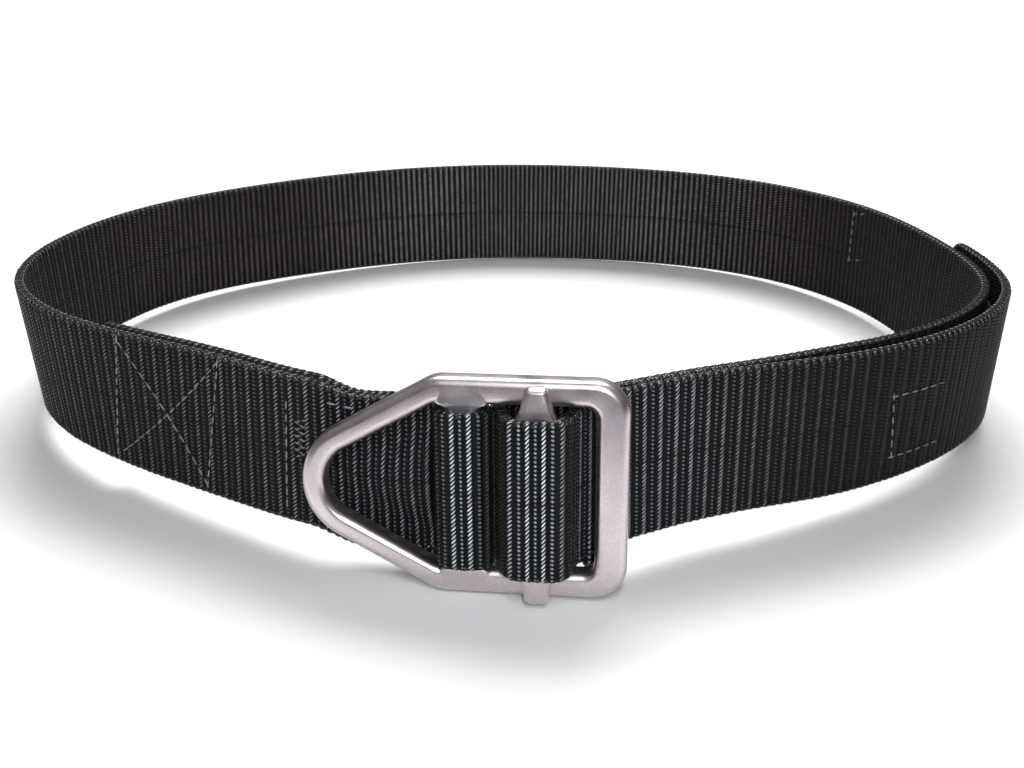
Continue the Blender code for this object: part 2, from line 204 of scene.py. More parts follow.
# Plan of the loop at half height, midway between the two plies
PLAN = (
    # bearing in degrees, radius, how far the lower edge stands out
    (0, 141.5, -0.8),
    (18, 147.9, 0.0),
    (36, 153.0, 1.9),
    (54, 151.0, 1.1),
    (72, 143.5, -1.3),
    (90, 139.0, -2.6),
    (108, 136.5, -1.9),
    (126, 137.5, 1.8),
    (144, 142.0, 3.4),
    (162, 140.5, -0.3),
    (180, 131.2, -2.4),
    (198, 106.5, -0.6),
    (216, 87.0, 2.5),
    (234, 80.0, 1.8),
    (252, 77.5, 2.0),
    (270, 77.0, 3.9),
    (288, 79.0, 4.0),
    (306, 80.7, 2.4),
    (324, 93.2, 1.7),
    (342, 117.5, -0.4),
)

# How far each ply stands off the plan, outwards
PLY_OFFSETS = (
    # bearing in degrees, inner ply, outer ply
    (-70, -0.5 * PLY_PITCH, 0.5 * PLY_PITCH),
    (-45, -0.5 * PLY_PITCH, 0.5 * PLY_PITCH),
    (-28, -0.5 * FASTENED_PITCH, 0.5 * FASTENED_PITCH),
    (4, -0.5 * FASTENED_PITCH, 0.5 * FASTENED_PITCH),
    (34, 0.0, FASTENED_PITCH),
    (90, 0.0, 0.0),
    (170, 0.0, 0.0),
    (196, -0.5 * PLY_PITCH, 0.5 * PLY_PITCH),
    (290, -0.5 * PLY_PITCH, 0.5 * PLY_PITCH),
)
INNER_PLY = 1
OUTER_PLY = 2

# Bearings at which the plies start and stop
BACK_BEARING = 90.0
TAIL_END = 16.0
RETURN_END = 200.0
LEFT_BAND_START = 240.0
RIGHT_BAND_START = -64.0
RIGHT_INNER_STOP = -75.0
HOOK_PATCH_SPAN = (-24.0, 14.0)
LOOP_PATCH_SPAN = (-24.0, 34.0)

# Sewn lines: ply, facing (1 outwards, -1 inwards), then bearing and height of each turn
SEWN_LINES = (
    (OUTER_PLY, 1, ((203.4, 36.0), (200.9, 2.9))),
    (OUTER_PLY, 1, ((221.3, 36.0), (217.9, 2.6))),
    (OUTER_PLY, 1, ((203.8, 34.6), (217.8, 3.0))),
    (OUTER_PLY, 1, ((220.8, 35.6), (202.2, 4.4))),
    (OUTER_PLY, 1, ((235.7, 30.5), (234.9, 4.4))),
    (OUTER_PLY, 1, ((244.3, 33.1), (247.7, 32.8))),
    (OUTER_PLY, 1, ((-17.2, 24.1), (-24.2, 24.4), (-23.3, 7.1), (-16.6, 6.8))),
    (INNER_PLY, -1, ((32.3, 35.3), (33.8, 34.3), (33.9, 17.4), (32.2, 18.6))),
)
TACK = (OUTER_PLY, 1, (238.3, 27.6), (238.0, 18.0))
TACK_SWING = 0.65
TACK_TURNS = 11
SEWN_STEP = 0.5
SEWN_PROUD = 0.02

# Camera, found in the belt's frame
CAMERA_PLACE = Vector((5.98929754, -307.374612, 142.754541))
CAMERA_PITCH = 0.418967021
CAMERA_ROLL = -0.00611990961
FOCAL_PIXELS = 1150.0
IMAGE_WIDTH = 1024
SENSOR = 36.0

# Stage, in metres
FLOOR_REACH = 3.0
CARD_REACH = 1.2
CARD_NEAR = -1.6
CARD_FAR = -0.25
CARD_HEIGHT = 0.002
KEY_PLACE = (0.05, 0.8, 1.25)
KEY_SIZE = (1.0, 0.7)
FILL_PLACE = (0.03, -0.44, 0.34)
FILL_TARGET = (0.0, -0.1, 0.02)
FILL_SIZE = (0.05, 0.36)
WALL_TONES = ((0.16, "#7c5a49"), (0.30, "#d6b8a2"), (0.55, "#ffffff"))
WALL_FOOT = "#4a3126"
BACKDROP = 3.6


# ---------------------------------------------------------------- settings
class BeltWebbing(bpy.types.PropertyGroup):
    """The weave of the strap."""

    rib_pitch: bpy.props.FloatProperty(
        name="Rib pitch", description="Distance from one cross rib to the next",
        default=0.00213, min=0.0005, max=0.01, unit="LENGTH", precision=5)
    packed_pitch: bpy.props.FloatProperty(
        name="Packed rib pitch", description="Distance from one cross rib to the next inside the buckle",
        default=0.00176, min=0.0005, max=0.01, unit="LENGTH", precision=5)
    rib_depth: bpy.props.FloatProperty(
        name="Rib depth", description="Depth of the valleys between the ribs",
        default=0.00034, min=0.0, max=0.001, unit="LENGTH", precision=5)
    yarn_pitch: bpy.props.FloatProperty(
        name="Yarn pitch", description="Distance between yarns along one rib",
        default=0.001, min=0.0002, max=0.005, unit="LENGTH", precision=5)
    yarn_slant: bpy.props.FloatProperty(
        name="Yarn slant", description="How many yarn pitches a yarn climbs across one rib",
        default=1.9, min=0.0, max=4.0)
    # The colour of the painted highlights on the yarns' crests, where they are strongest
    colour: bpy.props.FloatVectorProperty(
        name="Yarn colour", description="Colour of the crest of a yarn where it is rubbed brightest",
        default=(0.84, 0.9, 1.0), min=0.0, max=1.0, size=3, subtype="COLOR")


class BeltStitching(bpy.types.PropertyGroup):
    """The sewing thread."""

    stitch_pitch: bpy.props.FloatProperty(
        name="Stitch pitch", description="Distance from one stitch to the next",
        default=0.003, min=0.001, max=0.01, unit="LENGTH", precision=4)
    thread_width: bpy.props.FloatProperty(
        name="Thread width", description="Width of the thread on the face of the webbing",
        default=0.00045, min=0.0001, max=0.002, unit="LENGTH", precision=5)
    colour: bpy.props.FloatVectorProperty(
        name="Thread colour", description="Colour of the sewing thread",
        default=(0.23, 0.225, 0.235), min=0.0, max=1.0, size=3, subtype="COLOR")


class BeltMetal(bpy.types.PropertyGroup):
    """The buckle frame and its slider bar."""

    edge_radius: bpy.props.FloatProperty(
        name="Edge radius", description="Radius of the long edges of the buckle frame",
        default=0.0019, min=0.0005, max=0.0026, unit="LENGTH", precision=4)
    colour: bpy.props.FloatVectorProperty(
        name="Metal colour", description="Colour that the metal gives its reflections",
        default=(0.7, 0.62, 0.64), min=0.0, max=1.0, size=3, subtype="COLOR")
    roughness: bpy.props.FloatProperty(
        name="Roughness", description="How widely the satin finish spreads its reflections",
        default=0.33, min=0.05, max=1.0, subtype="FACTOR")


class BeltStage(bpy.types.PropertyGroup):
    """The floor, the light and the camera."""

    floor_colour: bpy.props.FloatVectorProperty(
        name="Floor colour", description="Colour of the floor",
        default=(0.88, 0.88, 0.88), min=0.0, max=1.0, size=3, subtype="COLOR")
    key_power: bpy.props.FloatProperty(
        name="Key light", description="Power of the soft light above the belt",
        default=28.0, min=0.0, unit="POWER")
    fill_power: bpy.props.FloatProperty(
        name="Fill light", description="Power of the soft light beside the camera",
        default=1.6, min=0.0, unit="POWER")
    sky: bpy.props.FloatProperty(
        name="Sky", description="Strength of the even light from all sides",
        default=0.22, min=0.0, max=4.0)


# ---------------------------------------------------------------- the belt's route
def periodic_spline(column):
    """A smooth closed curve through one column of the plan table, as a function of the bearing."""
    values = np.array([row[column] for row in PLAN], dtype=float)
    count = len(values)
    system = 4 * np.eye(count) + np.roll(np.eye(count), 1, axis=1) + np.roll(np.eye(count), -1, axis=1)
    bends = np.linalg.solve(system, 6 * (np.roll(values, -1) - 2 * values + np.roll(values, 1)))

    def value(bearing):
        place = (bearing % 360.0) * count / 360.0
        low = int(place) % count
        high = (low + 1) % count
        t = place - int(place)
        s = 1 - t
        straight = s * values[low] + t * values[high]
        return straight + ((s ** 3 - s) * bends[low] + (t ** 3 - t) * bends[high]) / 6

    return value


PLAN_RADIUS = periodic_spline(1)
PLAN_LEAN = periodic_spline(2)


def smooth_table(rows, place, column):
    """Read a table by its first column, easing from one row to the next."""
    if place <= rows[0][0]:
        return rows[0][column]
    for low, high in zip(rows, rows[1:]):
        if place <= high[0]:
            t = (place - low[0]) / (high[0] - low[0])
            t = t * t * (3 - 2 * t)
            return low[column] + t * (high[column] - low[column])
    return rows[-1][column]


def plan_point(bearing):
    """The plan's point at a bearing."""
    turn = radians(bearing)
    radius = PLAN_RADIUS(bearing)
    return Vector((radius * cos(turn), radius * sin(turn)))


def plan_pace(bearing):
    """How the plan moves on over one degree of bearing."""
    return plan_point(bearing + 0.5) - plan_point(bearing - 0.5)


def plan_normal(bearing):
    """The outward direction of the plan at a bearing."""
    along = plan_pace(bearing)
    return Vector((along.y, -along.x)).normalized()


def band_station(bearing, offset):
    """The middle of the webbing at a bearing, and the direction of its width."""
    outward = plan_normal(bearing)
    lean = asin(PLAN_LEAN(bearing) / STRAP_WIDTH)
    up = Vector((-outward.x * sin(lean), -outward.y * sin(lean), cos(lean)))
    place = plan_point(bearing) + outward * offset
    return Vector((place.x, place.y, 0.5 * STRAP_WIDTH * cos(lean))), up


def band_stations(first, last, ply, offset=0.0):
    """Stations of one ply from one bearing to another, at even steps along the plan."""
    sense = 1 if last > first else -1
    bearings = [first]
    while sense * (last - bearings[-1]) > 0:
        bearings.append(bearings[-1] + sense * STATION_STEP / plan_pace(bearings[-1]).length)
    stretch = (last - first) / (bearings[-1] - first)
    bearings = [first + (bearing - first) * stretch for bearing in bearings]
    return [band_station(bearing, smooth_table(PLY_OFFSETS, bearing, ply) + offset) for bearing in bearings]


BUCKLE_OUT = Vector((sin(BUCKLE_YAW), -cos(BUCKLE_YAW), 0))
LEVEL_RIGHT = Vector((cos(BUCKLE_YAW), sin(BUCKLE_YAW), 0))
LEVEL_UP = Vector((0, 0, cos(BUCKLE_LEAN))) - BUCKLE_OUT * sin(BUCKLE_LEAN)
BUCKLE_RIGHT = LEVEL_RIGHT * cos(BUCKLE_ROLL) + LEVEL_UP * sin(BUCKLE_ROLL)
BUCKLE_UP = LEVEL_UP * cos(BUCKLE_ROLL) - LEVEL_RIGHT * sin(BUCKLE_ROLL)
BUCKLE_FRONT = BUCKLE_RIGHT.cross(BUCKLE_UP)
BUCKLE_MATRIX = Matrix((
    (BUCKLE_RIGHT.x, BUCKLE_UP.x, BUCKLE_FRONT.x, BUCKLE_AT.x),
    (BUCKLE_RIGHT.y, BUCKLE_UP.y, BUCKLE_FRONT.y, BUCKLE_AT.y),
    (BUCKLE_RIGHT.z, BUCKLE_UP.z, BUCKLE_FRONT.z, BUCKLE_AT.z),
    (0, 0, 0, 1),
))


def buckle_station(along, depth):
    """A station of the webbing in the buckle: along to the right, depth out of the front face."""
    return BUCKLE_MATRIX @ Vector((along, 0, depth)), BUCKLE_UP.copy()


def arc(centre, radius, first, last, pieces):
    """Buckle stations along an arc between two angles, given in degrees."""
    stations = []
    for index in range(pieces + 1):
        turn = radians(first + (last - first) * index / pieces)
        stations.append(buckle_station(centre[0] + radius * cos(turn), centre[1] + radius * sin(turn)))
    return stations


def bridge(start, end, start_pull, end_pull, pieces):
    """Stations of a smooth curve that joins two runs, drawn out along each by its pull."""
    before, leave = start[-2][0], start[-1][0]
    arrive, after = end[0][0], end[1][0]
    start_way = (leave - before).normalized() * start_pull
    end_way = (after - arrive).normalized() * end_pull
    stations = []
    pieces *= BRIDGE_FINENESS
    for index in range(1, pieces):
        t = index / pieces
        h00 = 2 * t ** 3 - 3 * t ** 2 + 1
        h10 = t ** 3 - 2 * t ** 2 + t
        h01 = 3 * t ** 2 - 2 * t ** 3
        h11 = t ** 3 - t ** 2
        place = h00 * leave + h10 * start_way + h01 * arrive + h11 * end_way
        up = (start[-1][1].lerp(end[0][1], t * t * (3 - 2 * t))).normalized()
        stations.append((place, up))
    return stations


def around(centre, width, thickness, edge_radius):
    """The middle line of the webbing around a bar: half sizes and corner radius."""
    clear = TOUCH_GAP + 0.5 * STRAP_THICKNESS
    half_width = 0.5 * width + clear
    half_depth = 0.5 * thickness + clear
    corner = edge_radius + clear
    right = centre[0] + half_width - corner
    left = centre[0] - half_width + corner
    front = centre[1] + half_depth - corner
    back = centre[1] - half_depth + corner
    return left, right, back, front, corner


def crossbar_runs():
    """The two runs of webbing at the crossbar: in from the sewn end, and round and out again."""
    left, right, back, front, corner = around(
        (-CROSSBAR_FROM_RIGHT, CROSSBAR_DEPTH), CROSSBAR_WIDTH, CROSSBAR_THICKNESS, BAR_EDGE_RADIUS)
    behind_frame = -(FRAME_THICKNESS + BACK_GAP + 0.5 * STRAP_THICKNESS)
    turn = (left - corner - STRAP_BEND, behind_frame + STRAP_BEND)
    arriving = (
        [buckle_station(BEHIND_TIP, behind_frame - PLY_PITCH)]
        + arc(turn, STRAP_BEND + PLY_PITCH, -90, -40, BEND_PIECES)
    )
    wrapping = (
        arc((right, back), corner, -80, 0, BEND_PIECES)
        + arc((right, front), corner, 0, 90, BEND_PIECES)
        + arc((left, front), corner, 90, 180, BEND_PIECES)
        + arc(turn, STRAP_BEND, 0, -90, BEND_PIECES)
        + [buckle_station(BEHIND_TIP, behind_frame)]
    )
    return arriving, wrapping


def slider_run():
    """The run of webbing that comes forward between the bars, leaning from the roll, and over the slider."""
    middle = (-SLIDER_FROM_RIGHT, TOUCH_GAP + 0.5 * SLIDER_THICKNESS)
    left, right, _, front, corner = around(middle, SLIDER_WIDTH, SLIDER_THICKNESS, SLIDER_EDGE_RADIUS)
    rise = (BETWEEN_BARS, BEHIND_SLIDER + STRAP_BEND)
    return (
        arc(rise, STRAP_BEND, -100, -180 - LEAN_BETWEEN_BARS, BEND_PIECES)
        + arc((left, front), corner, 180 - LEAN_BETWEEN_BARS, 90, BEND_PIECES)
        + arc((right, front), corner, 90, 0, BEND_PIECES)
        + [buckle_station(right + corner + OFF_SLIDER, BESIDE_SLIDER)]
    )


def strap_route():
    """Stations of the whole strap, from its sewn inner end to the free tail."""
    arriving, wrapping = crossbar_runs()
    over_slider = slider_run()
    sewn_end = band_stations(RETURN_END, LEFT_BAND_START, INNER_PLY)
    left_band = band_stations(LEFT_BAND_START, BACK_BEARING, OUTER_PLY)
    right_band = band_stations(BACK_BEARING, RIGHT_INNER_STOP, INNER_PLY)
    tail = band_stations(RIGHT_BAND_START, TAIL_END, OUTER_PLY)

    route = list(sewn_end)
    route += bridge(sewn_end, arriving, 8, 8, 3) + arriving
    route += bridge(arriving, wrapping, 4, 4, 3) + wrapping
    route += bridge(wrapping, left_band, 8, 8, 3) + left_band
    route += right_band[1:]
    route += bridge(right_band, over_slider, 8, 8, 4) + over_slider
    route += bridge(over_slider, tail, 16, 14, 8) + tail
    return route


def unit(rows):
    """Rows of vectors, each made one long."""
    return rows / np.linalg.norm(rows, axis=1)[:, None]


def columns(stations):
    """Places, directions of the width, ways and sides of a run of stations, a row each."""
    places, ups = (np.array(column) for column in zip(*stations))
    ways = unit(np.gradient(places, axis=0))
    return places, ups, ways, unit(np.cross(ways, ups))


class Route:
    """The strap's middle line, a fixed number of stations to each cross rib."""

    def __init__(self, settings, stations_per_rib):
        places, ups = (np.array(column) for column in zip(*strap_route()))
        gone = np.r_[0, np.cumsum(np.linalg.norm(np.diff(places, axis=0), axis=1))]

        def read(rows, where):
            return np.array([np.interp(where, gone, column) for column in rows.T]).T

        fine = np.arange(0, gone[-1], FINE_STEP)
        to_right = (read(places, fine) - np.array(BUCKLE_AT)) @ np.array(BUCKLE_RIGHT)
        packed = np.abs(to_right - PACKED_MIDDLE) < PACKED_REACH
        packed = np.convolve(packed, np.ones(PACKED_EASE) / PACKED_EASE, "same")
        pitch = (settings.rib_pitch + (settings.packed_pitch - settings.rib_pitch) * packed) / MM
        ribs = np.cumsum(FINE_STEP / pitch)
        ribs *= round(ribs[-1]) / ribs[-1]
        self.rib = np.arange(0, int(ribs[-1]) + 0.01 / stations_per_rib, 1 / stations_per_rib)
        self.along = np.interp(self.rib, ribs, fine)
        self.along[-1] = gone[-1]
        self.place = read(places, self.along)
        self.up = read(ups, self.along)
        for _ in range(2):
            self.place[1:-1] = (self.place[:-2] + 2 * self.place[1:-1] + self.place[2:]) / 4
        way = np.gradient(self.place, axis=0)
        way[1:-1] = (way[:-2] + 2 * way[1:-1] + way[2:]) / 4
        self.way = unit(way)
        self.side = unit(np.cross(self.way, self.up))
        from_buckle = self.place - np.array(BUCKLE_AT)
        self.right = from_buckle @ np.array(BUCKLE_RIGHT)
        self.forward = from_buckle @ np.array(BUCKLE_FRONT)


def hang(route):
    """How far the lower edge of the webbing hangs behind the frame's window, by station."""
    behind = np.clip((HANG_BEHIND - route.forward) / HANG_EASE, 0, 1) * (route.forward > HANG_DEEPEST)
    deepest = np.zeros(len(behind))
    for middle, reach, drop in HANG_PLACES:
        near = np.clip(1 - np.abs(route.right - middle) / reach, 0, 1)
        deepest = np.maximum(deepest, drop * near * near * (3 - 2 * near))
    return behind * deepest


def bulge(route):
    """How far the webbing stands forward into the frame's window, and how far to each side, by station."""
    behind = np.clip((WINDOW_BEHIND - route.forward) / WINDOW_EASE, 0, 1)
    behind *= route.forward > WINDOW_PLY_BEHIND
    reach = (route.right + FRAME_LENGTH) * tan(ARM_SLOPE) - WINDOW_MARGIN
    return (behind * np.interp(route.right, *zip(*WINDOW_BULGES)),
            np.clip(reach, WINDOW_LEAST_REACH, 0.5 * STRAP_WIDTH))


def painted_highlight_strength(route):
    """How bright the painted highlights on the crests of the yarns are, by station: most of all on the rolls
    in the buckle, where they face out of its front.
    """
    front, back = (np.interp(route.place[:, 0], *zip(*table)) for table in (FRONT_PAINTED_HIGHLIGHT, BACK_PAINTED_HIGHLIGHT))
    highlighted = np.where(route.place[:, 1] > 0, back, front)
    facing = np.abs(route.side @ np.array(BUCKLE_FRONT)) ** ROLL_PAINTED_HIGHLIGHT_FALL
    rolled = np.clip((route.forward - ROLL_PAINTED_HIGHLIGHT_BEHIND) / ROLL_PAINTED_HIGHLIGHT_EASE, 0, 1)
    rolled *= np.abs(route.right - PACKED_MIDDLE) < PACKED_REACH
    return highlighted + rolled * (ROLL_PAINTED_HIGHLIGHT_SIDE + ROLL_PAINTED_HIGHLIGHT_FRONT * facing - highlighted)


# ---------------------------------------------------------------- meshes
def placed(points):
    """Points of the belt's frame in millimetres, as world metres."""
    turn = np.array(REST.to_3x3())
    return (np.asarray(points, dtype=float) @ turn.T + np.array(REST_SHIFT)) * MM


def in_buckle(points):
    """Points of the buckle's frame, as points of the belt's frame."""
    turn = np.array(BUCKLE_MATRIX.to_3x3())
    return np.asarray(points, dtype=float) @ turn.T + np.array(BUCKLE_AT)


def skin(rings, looped, along=None, around_ring=None):
    """Vertices, outward faces and their corners' pattern places, over a stack of rings."""
    count, across = rings.shape[:2]
    if along is None:
        along = np.arange(count + 1.0)
        around_ring = np.arange(across + 1.0)
    faces = []
    corners = []
    for ring in range(count if looped else count - 1):
        here, there = ring * across, ((ring + 1) % count) * across
        for low in range(across):
            high = (low + 1) % across
            faces.append((here + low, here + high, there + high, there + low))
            corners.append((
                (along[ring], around_ring[low]), (along[ring], around_ring[low + 1]),
                (along[ring + 1], around_ring[low + 1]), (along[ring + 1], around_ring[low])))
    if not looped:
        for ring, order in ((0, range(across - 1, -1, -1)), (count - 1, range(across))):
            faces.append(tuple(ring * across + index for index in order))
            corners.append(tuple((along[ring], around_ring[index]) for index in order))
    vertices = rings.reshape(-1, 3)
    if volume_of(vertices, faces) < 0:
        faces = [face[::-1] for face in faces]
        corners = [corner[::-1] for corner in corners]
    return vertices, faces, corners


def volume_of(vertices, faces):
    """Signed volume inside closed faces: negative where they point inwards."""
    triangles = np.array([(face[0], face[index], face[index + 1])
                          for face in faces for index in range(1, len(face) - 1)])
    a, b, c = (vertices[triangles[:, index]] for index in range(3))
    return float((a * np.cross(b, c)).sum()) / 6


def new_object(name, data):
    """An object of the scene, to hold the data."""
    thing = bpy.data.objects.new(name, data)
    bpy.context.scene.collection.objects.link(thing)
    return thing


def new_piece(name, parts, material):
    """An object at the origin from skinned parts, with its place in its mesh."""
    vertices, faces, corners = [], [], []
    for part_vertices, part_faces, part_corners in parts:
        base = len(vertices)
        vertices.extend(map(tuple, part_vertices))
        faces.extend(tuple(base + index for index in face) for face in part_faces)
        corners.extend(part_corners)
    mesh = bpy.data.meshes.new(name)
    mesh.from_pydata(vertices, [], faces)
    layer = mesh.uv_layers.new(name="weave")
    layer.data.foreach_set("uv", np.array([place for corner in corners for place in corner]).ravel())
    mesh.shade_smooth()
    mesh.materials.append(material)
    return new_object(name, mesh)


def finish(piece, slot, *nodes):
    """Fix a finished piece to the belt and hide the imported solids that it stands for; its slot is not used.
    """
    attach(piece, BODY)
    if nodes:
        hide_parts(*nodes)


def feed(node, inputs):
    """Give a node its inputs: each is a value, a socket or a node, which stands for its first output."""
    for key, value in inputs.items():
        if isinstance(value, bpy.types.Node):
            value = value.outputs[0]
        if isinstance(value, bpy.types.NodeSocket):
            node.id_data.links.new(value, node.inputs[key])
        else:
            node.inputs[key].default_value = value
    return node


def add(tree, kind, inputs=None, **settings):
    """Add a node with its settings and its inputs."""
    node = tree.nodes.new(kind)
    for name, value in settings.items():
        setattr(node, name, value)
    return feed(node, inputs or {})


# ---------------------------------------------------------------- threads along paths
def thread_tree():
    """Geometry Nodes that lay one rounded bead of thread after another along a path."""
    tree = bpy.data.node_groups.new("thread beads along a path", "GeometryNodeTree")
    tree.interface.new_socket("Geometry", in_out="INPUT", socket_type="NodeSocketGeometry")
    for name in ("Spacing", "Length", "Width", "Height", "Unevenness"):
        tree.interface.new_socket(name, in_out="INPUT", socket_type="NodeSocketFloat")
    tree.interface.new_socket("Every point", in_out="INPUT", socket_type="NodeSocketBool")
    tree.interface.new_socket("Material", in_out="INPUT", socket_type="NodeSocketMaterial")
    tree.interface.new_socket("Geometry", in_out="OUTPUT", socket_type="NodeSocketGeometry")
    given = add(tree, "NodeGroupInput").outputs
    path = add(tree, "GeometryNodeMeshToCurve", {0: given["Geometry"]})
    spaced = add(tree, "GeometryNodeResampleCurve",
                 {"Curve": path, "Length": given["Spacing"]}, mode="LENGTH")
    points = add(tree, "GeometryNodeSwitch", {
        "Switch": given["Every point"], "False": spaced, "True": given["Geometry"]}, input_type="GEOMETRY")
    way = add(tree, "GeometryNodeInputNamedAttribute", {"Name": "way"}, data_type="FLOAT_VECTOR")
    up = add(tree, "GeometryNodeInputNamedAttribute", {"Name": "up"}, data_type="FLOAT_VECTOR")
    slant = add(tree, "GeometryNodeInputNamedAttribute", {"Name": "slant"}, data_type="FLOAT")
    wander = add(tree, "FunctionNodeRandomValue", {2: -1.0, 3: 1.0, "Seed": SEED}, data_type="FLOAT")
    stray = add(tree, "ShaderNodeMath", {0: wander.outputs[1], 1: given["Unevenness"]}, operation="MULTIPLY")
    angle = add(tree, "ShaderNodeMath", {0: slant, 1: stray}, operation="ADD")
    laid = add(tree, "FunctionNodeAlignRotationToVector", {"Vector": way}, axis="X")
    stood = add(tree, "FunctionNodeAlignRotationToVector", {"Rotation": laid, "Vector": up},
                axis="Z", pivot_axis="X")
    turn = add(tree, "FunctionNodeAxisAngleToRotation", {"Axis": (0, 0, 1), "Angle": angle})
    turned = add(tree, "FunctionNodeRotateRotation", {0: stood, 1: turn}, rotation_space="LOCAL")
    size = add(tree, "ShaderNodeCombineXYZ", {0: given["Length"], 1: given["Width"], 2: given["Height"]})
    bead = add(tree, "GeometryNodeMeshUVSphere", {"Segments": 6, "Rings": 4, "Radius": 0.5})
    beads = add(tree, "GeometryNodeInstanceOnPoints",
                {"Points": points, "Instance": bead, "Rotation": turned, "Scale": size})
    smooth = add(tree, "GeometryNodeSetShadeSmooth", {0: beads})
    real = add(tree, "GeometryNodeRealizeInstances", {0: smooth})
    dyed = add(tree, "GeometryNodeSetMaterial", {"Geometry": real, "Material": given["Material"]})
    add(tree, "NodeGroupOutput", {0: dyed})
    return tree


def applied(piece, modifier):
    """Give a piece the plain mesh that its one modifier makes of it."""
    bpy.context.view_layer.update()
    depsgraph = bpy.context.evaluated_depsgraph_get()
    plain = bpy.data.meshes.new_from_object(piece.evaluated_get(depsgraph), depsgraph=depsgraph)
    piece.modifiers.remove(modifier)
    piece.data = plain
    plain.name = piece.name
    return plain


def bead(length, width, height, unevenness, **spacing):
    """Sizes of the beads of a thread, from millimetres; without a spacing, one lies on every point."""
    sizes = {"Length": length, "Width": width, "Height": height, **spacing}
    sizes = {name: size * MM for name, size in sizes.items()}
    return {**sizes, "Unevenness": unevenness, "Every point": not spacing}


def lay_threads(name, paths, sizes, material):
    """Run the thread tree over paths of (places, ways, ups, slant) and keep a plain mesh."""
    mesh = bpy.data.meshes.new(name)
    turn = np.array(REST.to_3x3())
    edges = []
    start = 0
    for path in paths:
        edges += [(start + index, start + index + 1) for index in range(len(path[0]) - 1)]
        start += len(path[0])
    mesh.from_pydata(np.concatenate([placed(path[0]) for path in paths]).tolist(), edges, [])
    for attribute, column in (("way", 1), ("up", 2)):
        values = np.concatenate([np.asarray(path[column]) @ turn.T for path in paths])
        mesh.attributes.new(attribute, "FLOAT_VECTOR", "POINT").data.foreach_set("vector", values.ravel())
    slants = np.concatenate([np.full(len(path[0]), path[3]) for path in paths])
    mesh.attributes.new("slant", "FLOAT", "POINT").data.foreach_set("value", slants)
    piece = new_object(name, mesh)
    modifier = piece.modifiers.new("threads", "NODES")
    modifier.node_group = thread_tree()
    given = {**sizes, "Material": material}
    for item in modifier.node_group.interface.items_tree:
        if item.in_out == "INPUT" and item.name in given:
            modifier[item.identifier] = given[item.name]
    applied(piece, modifier)
    return piece


# ---------------------------------------------------------------- materials
def linear(code):
    """A linear colour from an sRGB hex value."""
    parts = [int(code[index:index + 2], 16) / 255 for index in (1, 3, 5)]
    parts = [part / 12.92 if part <= 0.04045 else ((part + 0.055) / 1.055) ** 2.4 for part in parts]
    return (*parts, 1.0)


def blank_material(name, inputs):
    """A material with only its shader, set to the given numbers, and the coordinates of its object."""
    material = bpy.data.materials.new(name)
    material.use_nodes = True
    tree = material.node_tree
    shader = feed(tree.nodes["Principled BSDF"], inputs)
    return material, tree, shader, add(tree, "ShaderNodeTexCoord").outputs["Object"]


def shared(build, name, *values):
    """The material of that name, built on its first use."""
    return bpy.data.materials.get(name) or build(name, *values)


